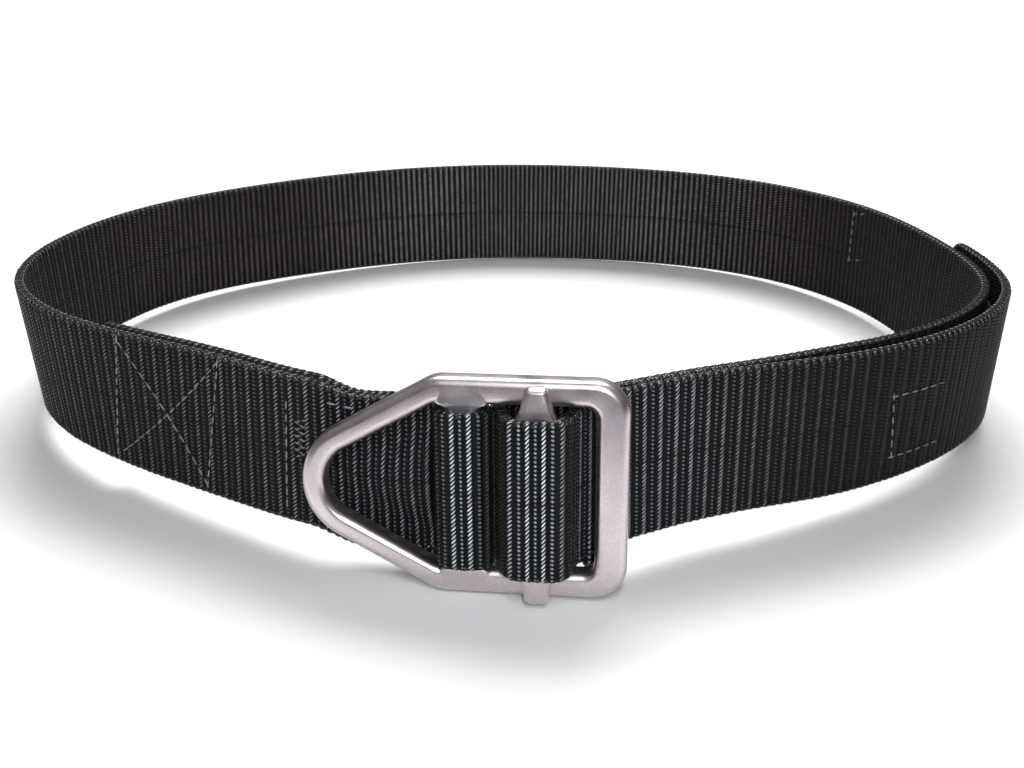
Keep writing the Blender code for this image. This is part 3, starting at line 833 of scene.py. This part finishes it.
def webbing_material(name, settings):
    """Heavy nylon webbing: slanted filament yarns in cross ribs, black, with a low gloss on each yarn.

    Painted highlights lie on the crests of its yarns as pale slanted dashes, and as short duller dots on the
    odd ribs; their colour is a painted reflection, cool in front where they are strongest, warm elsewhere.
    Round the back of the belt the ribs look alike.
    """
    material, tree, shader, body = blank_material(
        name, {"IOR": 1.53, "Roughness": 0.42, "Specular IOR Level": 0.14})
    weave = add(tree, "ShaderNodeSeparateXYZ", {0: add(tree, "ShaderNodeUVMap", uv_map="weave")})
    made = {
        "ribs": weave.outputs[0],
        "round": weave.outputs[1],
        "rearward": add(tree, "ShaderNodeSeparateXYZ", {0: body}).outputs[1],
        "patches": add(tree, "ShaderNodeTexNoise", {"Vector": body, "Scale": 22.0, "Detail": 3.0}),
        # the strength of the painted highlights, given to each point of the strap
        "highlighted": add(tree, "ShaderNodeAttribute", attribute_name="painted_highlight_strength").outputs["Fac"],
    }
    for step, way, *values in (
        # which rib, how far off its middle, and whether it is an odd one
        ("to_next", "ADD", "ribs", 0.5),
        ("rib", "FLOOR", "to_next"),
        ("off_rib", "SUBTRACT", "ribs", "rib"),
        ("parity", "FLOORED_MODULO", "rib", 2.0),
        # which yarn of the rib, and how far off its middle
        ("slope", "MULTIPLY_ADD", "parity", settings.yarn_slant + BACK_SLANT, -settings.yarn_slant),
        ("climb", "MULTIPLY", "off_rib", "slope"),
        ("across", "MULTIPLY_ADD", "round", MM / settings.yarn_pitch, "climb"),
        ("yarns", "MULTIPLY_ADD", "parity", 0.5, "across"),
        ("yarn", "FLOOR", "yarns"),
        ("in_yarn", "FRACT", "yarns"),
        ("off_yarn", "SUBTRACT", "in_yarn", 0.5),
        ("own", "RANDOM", "rib", "yarn"),
        # the height of the weave, lower along the line in the middle of each face
        ("yarn_fall", "MULTIPLY", "off_yarn", "off_yarn"),
        ("round_yarn", "MULTIPLY_ADD", "yarn_fall", -4.0, 1.0),
        ("rib_fall", "MULTIPLY", "off_rib", "off_rib"),
        ("round_rib", "MULTIPLY_ADD", "rib_fall", -4.6, 1.0),
        ("off_middle", "SUBTRACT", "round", BETWEEN_MIDDLES),
        ("from_middle", "ABSOLUTE", "off_middle"),
        ("on_line", "COMPARE", "from_middle", MIDDLE_LINE, LINE_WIDTH),
        ("kept", "MULTIPLY_ADD", "on_line", -0.2, 1.0),
        ("rounded", "MULTIPLY", "round_yarn", "round_rib"),
        ("height", "MULTIPLY", "rounded", "kept"),
        # the painted highlights: dashes on the crests, short on the odd ribs in front
        ("near", "LINEAR", "rearward", 10 * MM, 50 * MM, 1.0, 0.0),
        ("odd", "MULTIPLY", "parity", "near"),
        ("short", "MULTIPLY_ADD", "odd", -8.0, -0.5),
        ("ends", "MULTIPLY_ADD", "rib_fall", "short", 1.0),
        ("crown", "MULTIPLY", "height", "ends"),
        ("highlight_dash", "SMOOTHSTEP", "crown", 0.5, 0.9, 0.0, 1.0),
        # how bright the painted highlights are, from yarn to yarn, rib to rib and place to place, and dimmer
        # on the odd ribs in front
        ("share", "LINEAR", "own", 0.0, 1.0, 0.5, 1.0),
        ("turned", "MULTIPLY_ADD", "odd", -0.6, 1.0),
        ("seen", "MULTIPLY", "share", "turned"),
        ("clouded", "LINEAR", "patches", 0.3, 0.7, 0.7, 1.2),
        ("patchy_highlight", "MULTIPLY", "highlighted", "clouded"),
        ("bright", "MULTIPLY", "seen", "patchy_highlight"),
        ("painted_highlight", "MULTIPLY", "highlight_dash", "bright"),
        # how cold the painted highlights' colour is: a painted reflection, cool in front where they are
        # strongest, warm elsewhere
        ("cool", "LINEAR", "near", 0.0, 1.0, 0.35, 1.0),
        ("white", "LINEAR", "highlighted", 0.2, 0.5, 0.0, 1.0),
        ("blue", "MULTIPLY", "white", "cool"),
        # gloss
        ("sheen", "LINEAR", "height", 0.1, 0.8, 0.62, 0.25),
        ("uneven", "MULTIPLY_ADD", "own", 0.09, "sheen"),
        ("rough", "MULTIPLY_ADD", "parity", 0.07, "uneven"),
    ):
        inputs = {index: made.get(value, value) for index, value in enumerate(values)}
        if way == "RANDOM":
            made[step] = add(tree, "ShaderNodeTexWhiteNoise",
                             {"Vector": add(tree, "ShaderNodeCombineXYZ", inputs)}, noise_dimensions="2D")
        elif way in ("LINEAR", "SMOOTHSTEP"):
            made[step] = add(tree, "ShaderNodeMapRange", inputs, interpolation_type=way)
        else:
            clamped = step in ("round_rib", "ends")
            made[step] = add(tree, "ShaderNodeMath", inputs, operation=way, use_clamp=clamped)
    # colour of the painted highlights: a painted warm reflection, turning to the yarn colour where they are
    # strongest in front
    crest = add(tree, "ShaderNodeMix", {
        "Factor": made["blue"], 6: linear("#cbb8a8"), 7: (*settings.colour, 1.0)}, data_type="RGBA")
    # black nylon with the painted highlights laid on its crests
    lit = add(tree, "ShaderNodeMix", {
        "Factor": made["painted_highlight"], 6: linear("#101012"), 7: crest.outputs[2]}, data_type="RGBA")
    relief = add(tree, "ShaderNodeBump", {"Height": made["height"], "Strength": 1.0, "Distance": 0.3 * MM})
    feed(shader, {"Base Color": lit.outputs[2], "Roughness": made["rough"], "Normal": relief})
    return material


def thread_material(name, colour, gloss):
    """Twisted polyester thread: fine plies across each bead, a soft gloss and slight dirt."""
    material, tree, shader, body = blank_material(name, {"IOR": 1.54, "Roughness": gloss})
    dirt = add(tree, "ShaderNodeTexNoise", {"Vector": body, "Scale": 300.0, "Detail": 2.0})
    tone = add(tree, "ShaderNodeMapRange", {0: dirt, 1: 0.3, 2: 0.7, 3: 0.55, 4: 1.15})
    dyed = add(tree, "ShaderNodeMix", {"Factor": 1.0, 6: colour, 7: tone},
               data_type="RGBA", blend_type="MULTIPLY")
    plies = add(tree, "ShaderNodeTexNoise", {"Vector": body, "Scale": 4500.0, "Detail": 1.0})
    relief = add(tree, "ShaderNodeBump", {"Height": plies, "Strength": 0.6, "Distance": 0.06 * MM})
    feed(shader, {"Base Color": dyed.outputs[2], "Normal": relief})
    return material


def metal_material(name, settings):
    """Satin anodised aluminium: blasted before dyeing, so its gloss is soft with fine sparkling specks."""
    material, tree, shader, body = blank_material(name, {"Metallic": 1.0})
    specks = add(tree, "ShaderNodeTexNoise", {"Vector": body, "Scale": 3200.0, "Detail": 2.0})
    clouds = add(tree, "ShaderNodeTexNoise", {"Vector": body, "Scale": 160.0, "Detail": 3.0})
    tone = add(tree, "ShaderNodeMapRange", {0: specks, 1: 0.35, 2: 0.7, 3: 0.86, 4: 1.08})
    dyed = add(tree, "ShaderNodeMix", {"Factor": 1.0, 6: (*settings.colour, 1.0), 7: tone},
               data_type="RGBA", blend_type="MULTIPLY")
    rough = add(tree, "ShaderNodeMapRange",
                {0: clouds, 1: 0.3, 2: 0.7, 3: settings.roughness - 0.05, 4: settings.roughness + 0.06})
    relief = add(tree, "ShaderNodeBump", {"Height": specks, "Strength": 0.35, "Distance": 0.03 * MM})
    feed(shader, {"Base Color": dyed.outputs[2], "Roughness": rough, "Normal": relief})
    return material


def tape_material(name, colour, scale):
    """Knitted nylon fastener tape: dull black with a fine uneven nap."""
    material, tree, shader, body = blank_material(name, {"IOR": 1.53, "Roughness": 0.75})
    nap = add(tree, "ShaderNodeTexNoise", {"Vector": body, "Scale": scale, "Detail": 4.0})
    dyed = add(tree, "ShaderNodeMix", {"Factor": nap, 6: linear("#08080a"), 7: colour}, data_type="RGBA")
    relief = add(tree, "ShaderNodeBump", {"Height": nap, "Strength": 0.8, "Distance": 0.15 * MM})
    feed(shader, {"Base Color": dyed.outputs[2], "Normal": relief})
    return material


# ---------------------------------------------------------------- strap
def strap_section():
    """Points round the strap, as (across the width, share of the half thickness)."""
    flat = np.r_[-SECTION_FLAT, np.arange(-15, 15.1, SECTION_STEP), SECTION_FLAT]
    section = [(height, 1.0) for height in flat] + list(SECTION_EDGE)
    section += [(height, -1.0) for height in flat[::-1]]
    return np.array(section + [(-height, -share) for height, share in SECTION_EDGE])


class BELT_OT_webbing(bpy.types.Operator):
    """Weave the strap along its whole route, with every cross rib raised"""

    bl_idname = "belt.webbing"
    bl_label = "Webbing strap"

    def execute(self, context):
        settings = context.scene.belt_webbing
        route = Route(settings, STATIONS_PER_RIB)
        section = strap_section()
        valley = 0.5 - 0.5 * np.cos(2 * pi * route.rib)
        half = 0.5 * STRAP_THICKNESS - settings.rib_depth / MM * valley
        cut = np.clip(TAIL_CORNER - route.along[-1] + route.along, 0, TAIL_CORNER)
        narrowing = TAIL_CORNER - np.sqrt(TAIL_CORNER ** 2 - cut ** 2)
        across = section[:, 0] * (1 - narrowing / (0.5 * STRAP_WIDTH))[:, None]
        across = across - hang(route)[:, None] * np.clip(-across / (0.5 * STRAP_WIDTH), 0, 1) ** 2
        deep = section[:, 1] * half[:, None]
        forward, reach = bulge(route)
        crown = forward[:, None] * np.clip(1 - (across / reach[:, None]) ** 2, 0, 1)
        rings = (
            route.place[:, None, :]
            + route.up[:, None, :] * across[:, :, None]
            + route.side[:, None, :] * deep[:, :, None]
            + np.array(BUCKLE_FRONT) * crown[:, :, None]
        )
        outline = np.vstack([section, section[:1]]) * (1, 0.5 * STRAP_THICKNESS)
        around_ring = np.r_[0, np.cumsum(np.linalg.norm(np.diff(outline, axis=0), axis=1))]
        material = shared(webbing_material, "nylon webbing, ribbed weave", settings)
        piece = new_piece("webbing_strap", [skin(placed(rings), False, route.rib, around_ring)], material)
        # Strength of the painted highlights at each point, for the material
        highlighted = np.repeat(painted_highlight_strength(route), len(section))
        piece.data.attributes.new("painted_highlight_strength", "FLOAT", "POINT").data.foreach_set("value", highlighted)
        finish(piece, "webbing", "strap")
        return {"FINISHED"}


class BELT_OT_selvage(bpy.types.Operator):
    """Bind both edges of the strap with slanted loops of weft"""

    bl_idname = "belt.selvage"
    bl_label = "Selvage loops"

    def execute(self, context):
        route = Route(context.scene.belt_webbing, 1)
        stop = int(TAIL_CORNER / 2) + 1
        paths = []
        for sense in (1, -1):
            for row, slant, late in SELVAGE_ROWS:
                shift = sense * (0.5 * STRAP_WIDTH - SELVAGE_STAND)
                places = route.place + route.up * shift + route.side * row
                places[:-1] += late * (places[1:] - places[:-1])
                paths.append((places[:-stop], route.way[:-stop], (sense * route.up)[:-stop], radians(slant)))
        material = shared(thread_material, "nylon selvage yarn", linear("#1d1d20"), 0.3)
        finish(lay_threads("selvage_loops", paths, bead(2.9, 1.1, 1.3, 0.12), material), "webbing")
        return {"FINISHED"}


def face_of(ply, facing, bearing, height, proud=0.0):
    """A place on a face of the webbing and the direction that the face looks in."""
    offset = smooth_table(PLY_OFFSETS, bearing, ply) + facing * (0.5 * STRAP_THICKNESS + proud)
    middle, up = band_station(bearing, offset)
    outward = plan_normal(bearing)
    lean = Vector((outward.x * up.z, outward.y * up.z, -outward.dot(up.to_2d())))
    return middle + up * (height - 0.5 * STRAP_WIDTH), lean * facing


def sewn_path(ply, facing, start, end):
    """A path on a face of the webbing from one (bearing, height) to another."""
    start, end = np.array(start), np.array(end)
    run = (face_of(ply, facing, *start)[0] - face_of(ply, facing, *end)[0]).length
    count = max(int(run / SEWN_STEP), 2)
    steps = [face_of(ply, facing, *(start + (end - start) * index / count), SEWN_PROUD)
             for index in range(count)]
    places, ups = (np.array(column) for column in zip(*steps))
    return places, unit(np.gradient(places, axis=0)), ups, 0.0


class BELT_OT_stitching(bpy.types.Operator):
    """Sew the box stitches, the bar tack and the tape outlines"""

    bl_idname = "belt.stitching"
    bl_label = "Stitching"

    def execute(self, context):
        settings = context.scene.belt_stitching
        width, pitch = settings.thread_width / MM, settings.stitch_pitch / MM
        material = shared(thread_material, "polyester sewing thread", (*settings.colour, 1.0), 0.5)
        lines = [sewn_path(ply, facing, start, end)
                 for ply, facing, turns in SEWN_LINES for start, end in zip(turns, turns[1:])]
        sizes = bead(0.92 * pitch, width, 0.9 * width, 0.06, Spacing=pitch)
        finish(lay_threads("stitching", lines, sizes, material), "webbing")

        ply, facing, top, bottom = TACK
        swings = [(top[0] + (bottom[0] - top[0]) * index / TACK_TURNS + TACK_SWING * (-1) ** index,
                   top[1] + (bottom[1] - top[1]) * index / TACK_TURNS) for index in range(TACK_TURNS + 1)]
        zigzag = [sewn_path(ply, facing, start, end) for start, end in zip(swings, swings[1:])]
        sizes = bead(1.25, width, 0.9 * width, 0.0, Spacing=1.0)
        finish(lay_threads("bar_tack", zigzag, sizes, material), "webbing")
        return {"FINISHED"}


# ---------------------------------------------------------------- fastener tapes
def tape(name, span, ply, facing, material):
    """The knitted base of a fastener tape on one face of a ply."""
    thin = 0.5 * PATCH_THICKNESS
    offset = facing * (0.5 * STRAP_THICKNESS + TOUCH_GAP + 0.5 * thin)
    places, ups, _, sides = (rows[:, None] for rows in columns(band_stations(*span, ply, offset)))
    half = 0.5 * PATCH_WIDTH
    upper = ((-half, 0.6), (-half + PATCH_BEVEL, 1), (half - PATCH_BEVEL, 1), (half, 0.6))
    section = np.array(upper + tuple((across, -share) for across, share in upper[::-1]))
    rings = places + ups * section[:, :1] + sides * (0.5 * thin * section[:, 1:])
    return new_piece(name, [skin(placed(rings), False)], material)


def nap_paths(span, ply, facing, rise, rows, slant):
    """Rows of paths over a tape on which its hooks or loops stand."""
    half = 0.5 * PATCH_WIDTH - PATCH_MARGIN
    offset = facing * (0.5 * STRAP_THICKNESS + TOUCH_GAP + rise)
    places, ups, ways, sides = columns(band_stations(span[0] + 0.5, span[1] - 0.5, ply, offset))
    return [(places + ups * height, ways, sides * facing, slant * (-1) ** row)
            for row, height in enumerate(np.linspace(-half, half, rows))]


class BELT_OT_tapes(bpy.types.Operator):
    """Lay the hook tape and the loop tape between the plies of the tail"""

    bl_idname = "belt.tapes"
    bl_label = "Fastener tapes"

    def execute(self, context):
        hook = shared(tape_material, "nylon hook tape", linear("#17171a"), 900.0)
        loop = shared(tape_material, "nylon loop tape", linear("#242427"), 1400.0)
        finish(tape("hook_tape_base", HOOK_PATCH_SPAN, OUTER_PLY, -1, hook), "hook_tape", "hook_patch")
        finish(tape("loop_tape_base", LOOP_PATCH_SPAN, INNER_PLY, 1, loop), "loop_tape", "loop_patch")
        hooks = nap_paths(HOOK_PATCH_SPAN, OUTER_PLY, -1, 0.72, 12, 0.0)
        sizes = bead(0.7, 0.45, 0.5, 0.2, Spacing=1.8)
        finish(lay_threads("hook_tape_hooks", hooks, sizes, hook), "hook_tape")
        loops = nap_paths(LOOP_PATCH_SPAN, INNER_PLY, 1, 0.70, 14, 0.6)
        sizes = bead(1.6, 0.35, 0.5, 1.2, Spacing=1.5)
        finish(lay_threads("loop_tape_loops", loops, sizes, loop), "loop_tape")
        return {"FINISHED"}


# ---------------------------------------------------------------- metal
def rounded_section(low, high, back, front, radius, pieces=8):
    """Points of a rounded section, as (across, depth) pairs between four limits."""
    points = []
    for centre_across, centre_depth, first in (
        (high - radius, front - radius, 0),
        (low + radius, front - radius, 90),
        (low + radius, back + radius, 180),
        (high - radius, back + radius, 270),
    ):
        for step in range(pieces + 1):
            turn = radians(first + 90 * step / pieces)
            points.append((centre_across + radius * cos(turn), centre_depth + radius * sin(turn)))
    return points


def corner_arc(corner, way_in, way_out, radius, pieces):
    """Points of an arc that rounds a corner between two straight runs."""
    turn = way_in.angle_signed(way_out) * -1
    reach = radius * tan(abs(turn) / 2)
    start = corner - way_in * reach
    side = Vector((-way_in.y, way_in.x)) * (1 if turn > 0 else -1)
    centre = start + side * radius
    points = []
    for index in range(pieces + 1):
        swing = Matrix.Rotation(turn * index / pieces, 2)
        points.append(centre + swing @ (start - centre))
    return points


def frame_outline(inset, corner_radius, knee_radius, tip_radius_less):
    """One outline of the frame, anticlockwise from its tip, symmetric about its middle line."""
    half = 0.5 * (OPENING_HEIGHT if inset else FRAME_HEIGHT)
    right = -RIGHT_BAR_WIDTH if inset else 0.0
    arm_inset = ARM_WIDTH if inset else 0.0
    slope = Vector((cos(ARM_SLOPE), sin(ARM_SLOPE)))
    apex = -TOP_RAIL_LENGTH - 0.5 * FRAME_HEIGHT / tan(ARM_SLOPE)
    tip_radius = (-FRAME_LENGTH - apex) / (1 / sin(ARM_SLOPE) - 1) - tip_radius_less
    apex += arm_inset / sin(ARM_SLOPE)
    tip_centre = Vector((apex + tip_radius / sin(ARM_SLOPE), 0))
    knee = apex + half / tan(ARM_SLOPE)
    lower_way = Vector((slope.x, -slope.y))
    east = Vector((1, 0))
    north = Vector((0, 1))
    points = []
    for index in range(TIP_PIECES + 1):
        turn = radians(180) + (pi / 2 - ARM_SLOPE) * index / TIP_PIECES
        points.append(tip_centre + tip_radius * Vector((cos(turn), sin(turn))))
    points += corner_arc(Vector((knee, -half)), lower_way, east, knee_radius, KNEE_PIECES)
    points += corner_arc(Vector((right, -half)), east, north, corner_radius, CORNER_PIECES)
    mirrored = [Vector((point.x, -point.y)) for point in reversed(points[1:])]
    return points + mirrored


def frame_rings(edge_radius):
    """Rounded sections of the frame round its two outlines, in the buckle's frame."""
    outer = frame_outline(False, OUTER_CORNER_RADIUS, KNEE_OUTER_RADIUS, 0.0)
    inner = frame_outline(True, INNER_CORNER_RADIUS, KNEE_INNER_RADIUS, ARM_WIDTH)
    pairs = []
    for index in range(len(outer)):
        here = (outer[index], inner[index])
        there = (outer[(index + 1) % len(outer)], inner[(index + 1) % len(outer)])
        count = max(int((there[0] - here[0]).length / OUTLINE_STEP), 1)
        for step in range(count):
            t = step / count
            pairs.append((here[0].lerp(there[0], t), here[1].lerp(there[1], t)))
    rings = []
    for far, near in pairs:
        across = far - near
        way = across.normalized()
        rings.append([(near.x + way.x * reach, near.y + way.y * reach, depth) for reach, depth in
                      rounded_section(0, across.length, -FRAME_THICKNESS, 0, edge_radius)])
    return np.array(rings)


class BELT_OT_buckle_frame(bpy.types.Operator):
    """Shape the pointed metal frame with its crossbar"""

    bl_idname = "belt.buckle_frame"
    bl_label = "Buckle frame"

    def execute(self, context):
        settings = context.scene.belt_metal
        material = shared(metal_material, "satin anodised aluminium", settings)
        rings = frame_rings(settings.edge_radius / MM)
        piece = new_piece("delta_frame", [skin(placed(in_buckle(rings)), True)], material)
        half_opening = 0.5 * OPENING_HEIGHT
        ends = np.linspace(half_opening - CROSSBAR_FILLET, half_opening + CROSSBAR_BITE, CROSSBAR_RINGS)
        bars = []
        for height in np.r_[-ends[::-1], ends]:
            into = np.clip(1 - (half_opening - abs(height)) / CROSSBAR_FILLET, 0, 1)
            sunk = np.clip(1 - (ends[-1] - abs(height)) / (ends[-1] - ends[0]), 0, 1) ** 2
            half_width = 0.5 * CROSSBAR_WIDTH + CROSSBAR_FILLET * (1 - sqrt(1 - into ** 2))
            bars.append([(across - CROSSBAR_FROM_RIGHT, height, depth) for across, depth in rounded_section(
                -half_width, half_width, CROSSBAR_DEPTH - 0.5 * CROSSBAR_THICKNESS,
                CROSSBAR_DEPTH + 0.5 * CROSSBAR_THICKNESS - CROSSBAR_FILLET_SINK * sunk, CROSSBAR_ROUND)])
        bar = new_piece("crossbar_tool", [skin(placed(in_buckle(np.array(bars))), False)], material)
        union = piece.modifiers.new("crossbar", "BOOLEAN")
        union.operation = "UNION"
        union.solver = "EXACT"
        union.object = bar
        joined = applied(piece, union)
        bpy.data.objects.remove(bar, do_unlink=True)
        joined.shade_smooth()
        joined.set_sharp_from_angle(angle=SHARP_FROM)
        finish(piece, "buckle_metal", "buckle_frame")
        return {"FINISHED"}


class BELT_OT_slider_bar(bpy.types.Operator):
    """Shape the loose bar that the webbing passes over"""

    bl_idname = "belt.slider_bar"
    bl_label = "Slider bar"

    def execute(self, context):
        settings = context.scene.belt_metal
        material = shared(metal_material, "satin anodised aluminium", settings)
        table = np.array(SLIDER_SECTIONS)
        stretches = [np.linspace(*stretch) for stretch in SLIDER_RINGS]
        heights = np.unique(np.concatenate([table[:, 0], *stretches]))
        rings = []
        for height in heights:
            width, thickness = (np.interp(height, table[:, 0], table[:, column]) for column in (1, 2))
            radius = min(SLIDER_EDGE_RADIUS, 0.45 * thickness)
            section = rounded_section(-0.5 * width, 0.5 * width, 0, thickness, radius)
            rings.append([(across - SLIDER_FROM_RIGHT, height, depth + TOUCH_GAP)
                          for across, depth in section])
        piece = new_piece("slider_tabs", [skin(placed(in_buckle(np.array(rings))), False)], material)
        piece.data.set_sharp_from_angle(angle=SHARP_FROM)
        finish(piece, "buckle_metal", "slider_bar")
        return {"FINISHED"}


# ---------------------------------------------------------------- stage
def soft_light(name, place, target, size, power, colour=(1.0, 1.0, 1.0)):
    """A large rectangular light that the camera doesn't see, turned to a target."""
    light = bpy.data.lights.new(name, "AREA")
    light.shape = "RECTANGLE"
    light.size, light.size_y = size
    light.energy = power
    light.color = colour
    thing = new_object(name, light)
    thing.visible_camera = False
    thing.location = place
    thing.rotation_euler = (Vector(target) - Vector(place)).to_track_quat("-Z", "Y").to_euler()


def sheet(name, reach, near, far, height, material):
    """A level sheet of the stage."""
    mesh = bpy.data.meshes.new(name)
    places = ((-reach, near), (reach, near), (reach, far), (-reach, far))
    mesh.from_pydata([(*place, height) for place in places], [], [(0, 1, 2, 3)])
    mesh.materials.append(material)
    thing = new_object(name, mesh)
    return thing


def paper_material(settings):
    """Matt white paper: no gloss, and a tone that varies a little with its fibres."""
    material, tree, shader, body = blank_material("matt white paper", {"Roughness": 0.9})
    fibre = add(tree, "ShaderNodeTexNoise", {"Vector": body, "Scale": 40.0, "Detail": 3.0})
    tone = add(tree, "ShaderNodeMapRange", {0: fibre, 3: 0.985, 4: 1.015})
    pale = add(tree, "ShaderNodeMix", {"Factor": 1.0, 6: (*settings.floor_colour, 1.0), 7: tone},
               data_type="RGBA", blend_type="MULTIPLY")
    feed(shader, {"Base Color": pale.outputs[2]})
    return material


class BELT_OT_stage(bpy.types.Operator):
    """Set the pale floor, the soft studio light and the camera"""

    bl_idname = "belt.stage"
    bl_label = "Stage"

    def execute(self, context):
        settings = context.scene.belt_stage
        scene = context.scene
        sheet("floor", FLOOR_REACH, -FLOOR_REACH, FLOOR_REACH, 0, paper_material(settings))

        # A card that only the metal's reflections show
        card = sheet("grey_card", CARD_REACH, CARD_NEAR, CARD_FAR, CARD_HEIGHT, blank_material(
            "grey studio card", {"Base Color": (0, 0, 0, 1), "Roughness": 1.0,
                                 "Emission Color": linear("#585d6c"), "Emission Strength": 1.0})[0])
        card.visible_camera = card.visible_diffuse = card.visible_shadow = False

        # Walls that are brown low down, as the metal reflects them, and plain and pale to the camera
        scene.world = bpy.data.worlds.new("studio walls")
        scene.world.use_nodes = True
        tree = scene.world.node_tree
        height = add(tree, "ShaderNodeSeparateXYZ", {0: add(tree, "ShaderNodeTexCoord").outputs["Generated"]})
        walls = add(tree, "ShaderNodeValToRGB", {0: height.outputs[2]})
        for place, colour in WALL_TONES:
            walls.color_ramp.elements.new(place).color = linear(colour)
        walls.color_ramp.elements[0].color = linear(WALL_FOOT)
        seen = add(tree, "ShaderNodeMix", {
            "Factor": add(tree, "ShaderNodeLightPath").outputs["Is Camera Ray"], 6: walls.outputs[0],
            7: (BACKDROP, BACKDROP, BACKDROP, 1.0)}, data_type="RGBA")
        feed(tree.nodes["Background"], {"Color": seen.outputs[2], "Strength": settings.sky})
        scene.view_settings.view_transform = "Standard"

        soft_light("key", KEY_PLACE, (0.0, 0.0, 0.0), KEY_SIZE, settings.key_power)
        soft_light("fill", FILL_PLACE, FILL_TARGET, FILL_SIZE, settings.fill_power, (0.93, 0.97, 1.0))

        lens = bpy.data.cameras.new("camera")
        lens.sensor_width = SENSOR
        lens.lens = FOCAL_PIXELS * SENSOR / IMAGE_WIDTH
        lens.clip_start = 0.01
        camera = new_object("camera", lens)
        turn = Matrix.Rotation(pi / 2 - CAMERA_PITCH, 3, "X") @ Matrix.Rotation(-CAMERA_ROLL, 3, "Z")
        camera.matrix_world = (
            Matrix.Translation((REST @ CAMERA_PLACE) * MM) @ (REST.to_3x3() @ turn).to_4x4())
        scene.camera = camera
        return {"FINISHED"}


GROUPS = (
    (BeltWebbing, "belt_webbing"),
    (BeltStitching, "belt_stitching"),
    (BeltMetal, "belt_metal"),
    (BeltStage, "belt_stage"),
)
OPERATORS = (
    BELT_OT_stage,
    BELT_OT_webbing,
    BELT_OT_selvage,
    BELT_OT_stitching,
    BELT_OT_tapes,
    BELT_OT_buckle_frame,
    BELT_OT_slider_bar,
)


class BELT_PT_pieces(bpy.types.Panel):
    """The belt's sizes, colours and pieces"""

    bl_idname = "BELT_PT_pieces"
    bl_label = "Webbing belt"
    bl_space_type = "VIEW_3D"
    bl_region_type = "UI"
    bl_category = "Belt"

    def draw(self, context):
        layout = self.layout
        for kind, name in GROUPS:
            box = layout.box()
            for setting in kind.__annotations__:
                box.prop(getattr(context.scene, name), setting)
        for kind in OPERATORS:
            layout.operator(kind.bl_idname)


def register():
    for kind, name in GROUPS:
        bpy.utils.register_class(kind)
        setattr(bpy.types.Scene, name, bpy.props.PointerProperty(type=kind))
    for kind in OPERATORS:
        bpy.utils.register_class(kind)
    bpy.utils.register_class(BELT_PT_pieces)


def unregister():
    bpy.utils.unregister_class(BELT_PT_pieces)
    for kind in reversed(OPERATORS):
        bpy.utils.unregister_class(kind)
    for kind, name in reversed(GROUPS):
        delattr(bpy.types.Scene, name)
        bpy.utils.unregister_class(kind)


def main():
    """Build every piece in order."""
    register()
    bpy.ops.belt.stage()
    bpy.ops.belt.webbing()
    bpy.ops.belt.selvage()
    bpy.ops.belt.stitching()
    bpy.ops.belt.tapes()
    bpy.ops.belt.buckle_frame()
    bpy.ops.belt.slider_bar()


if __name__ == "__main__":
    main()
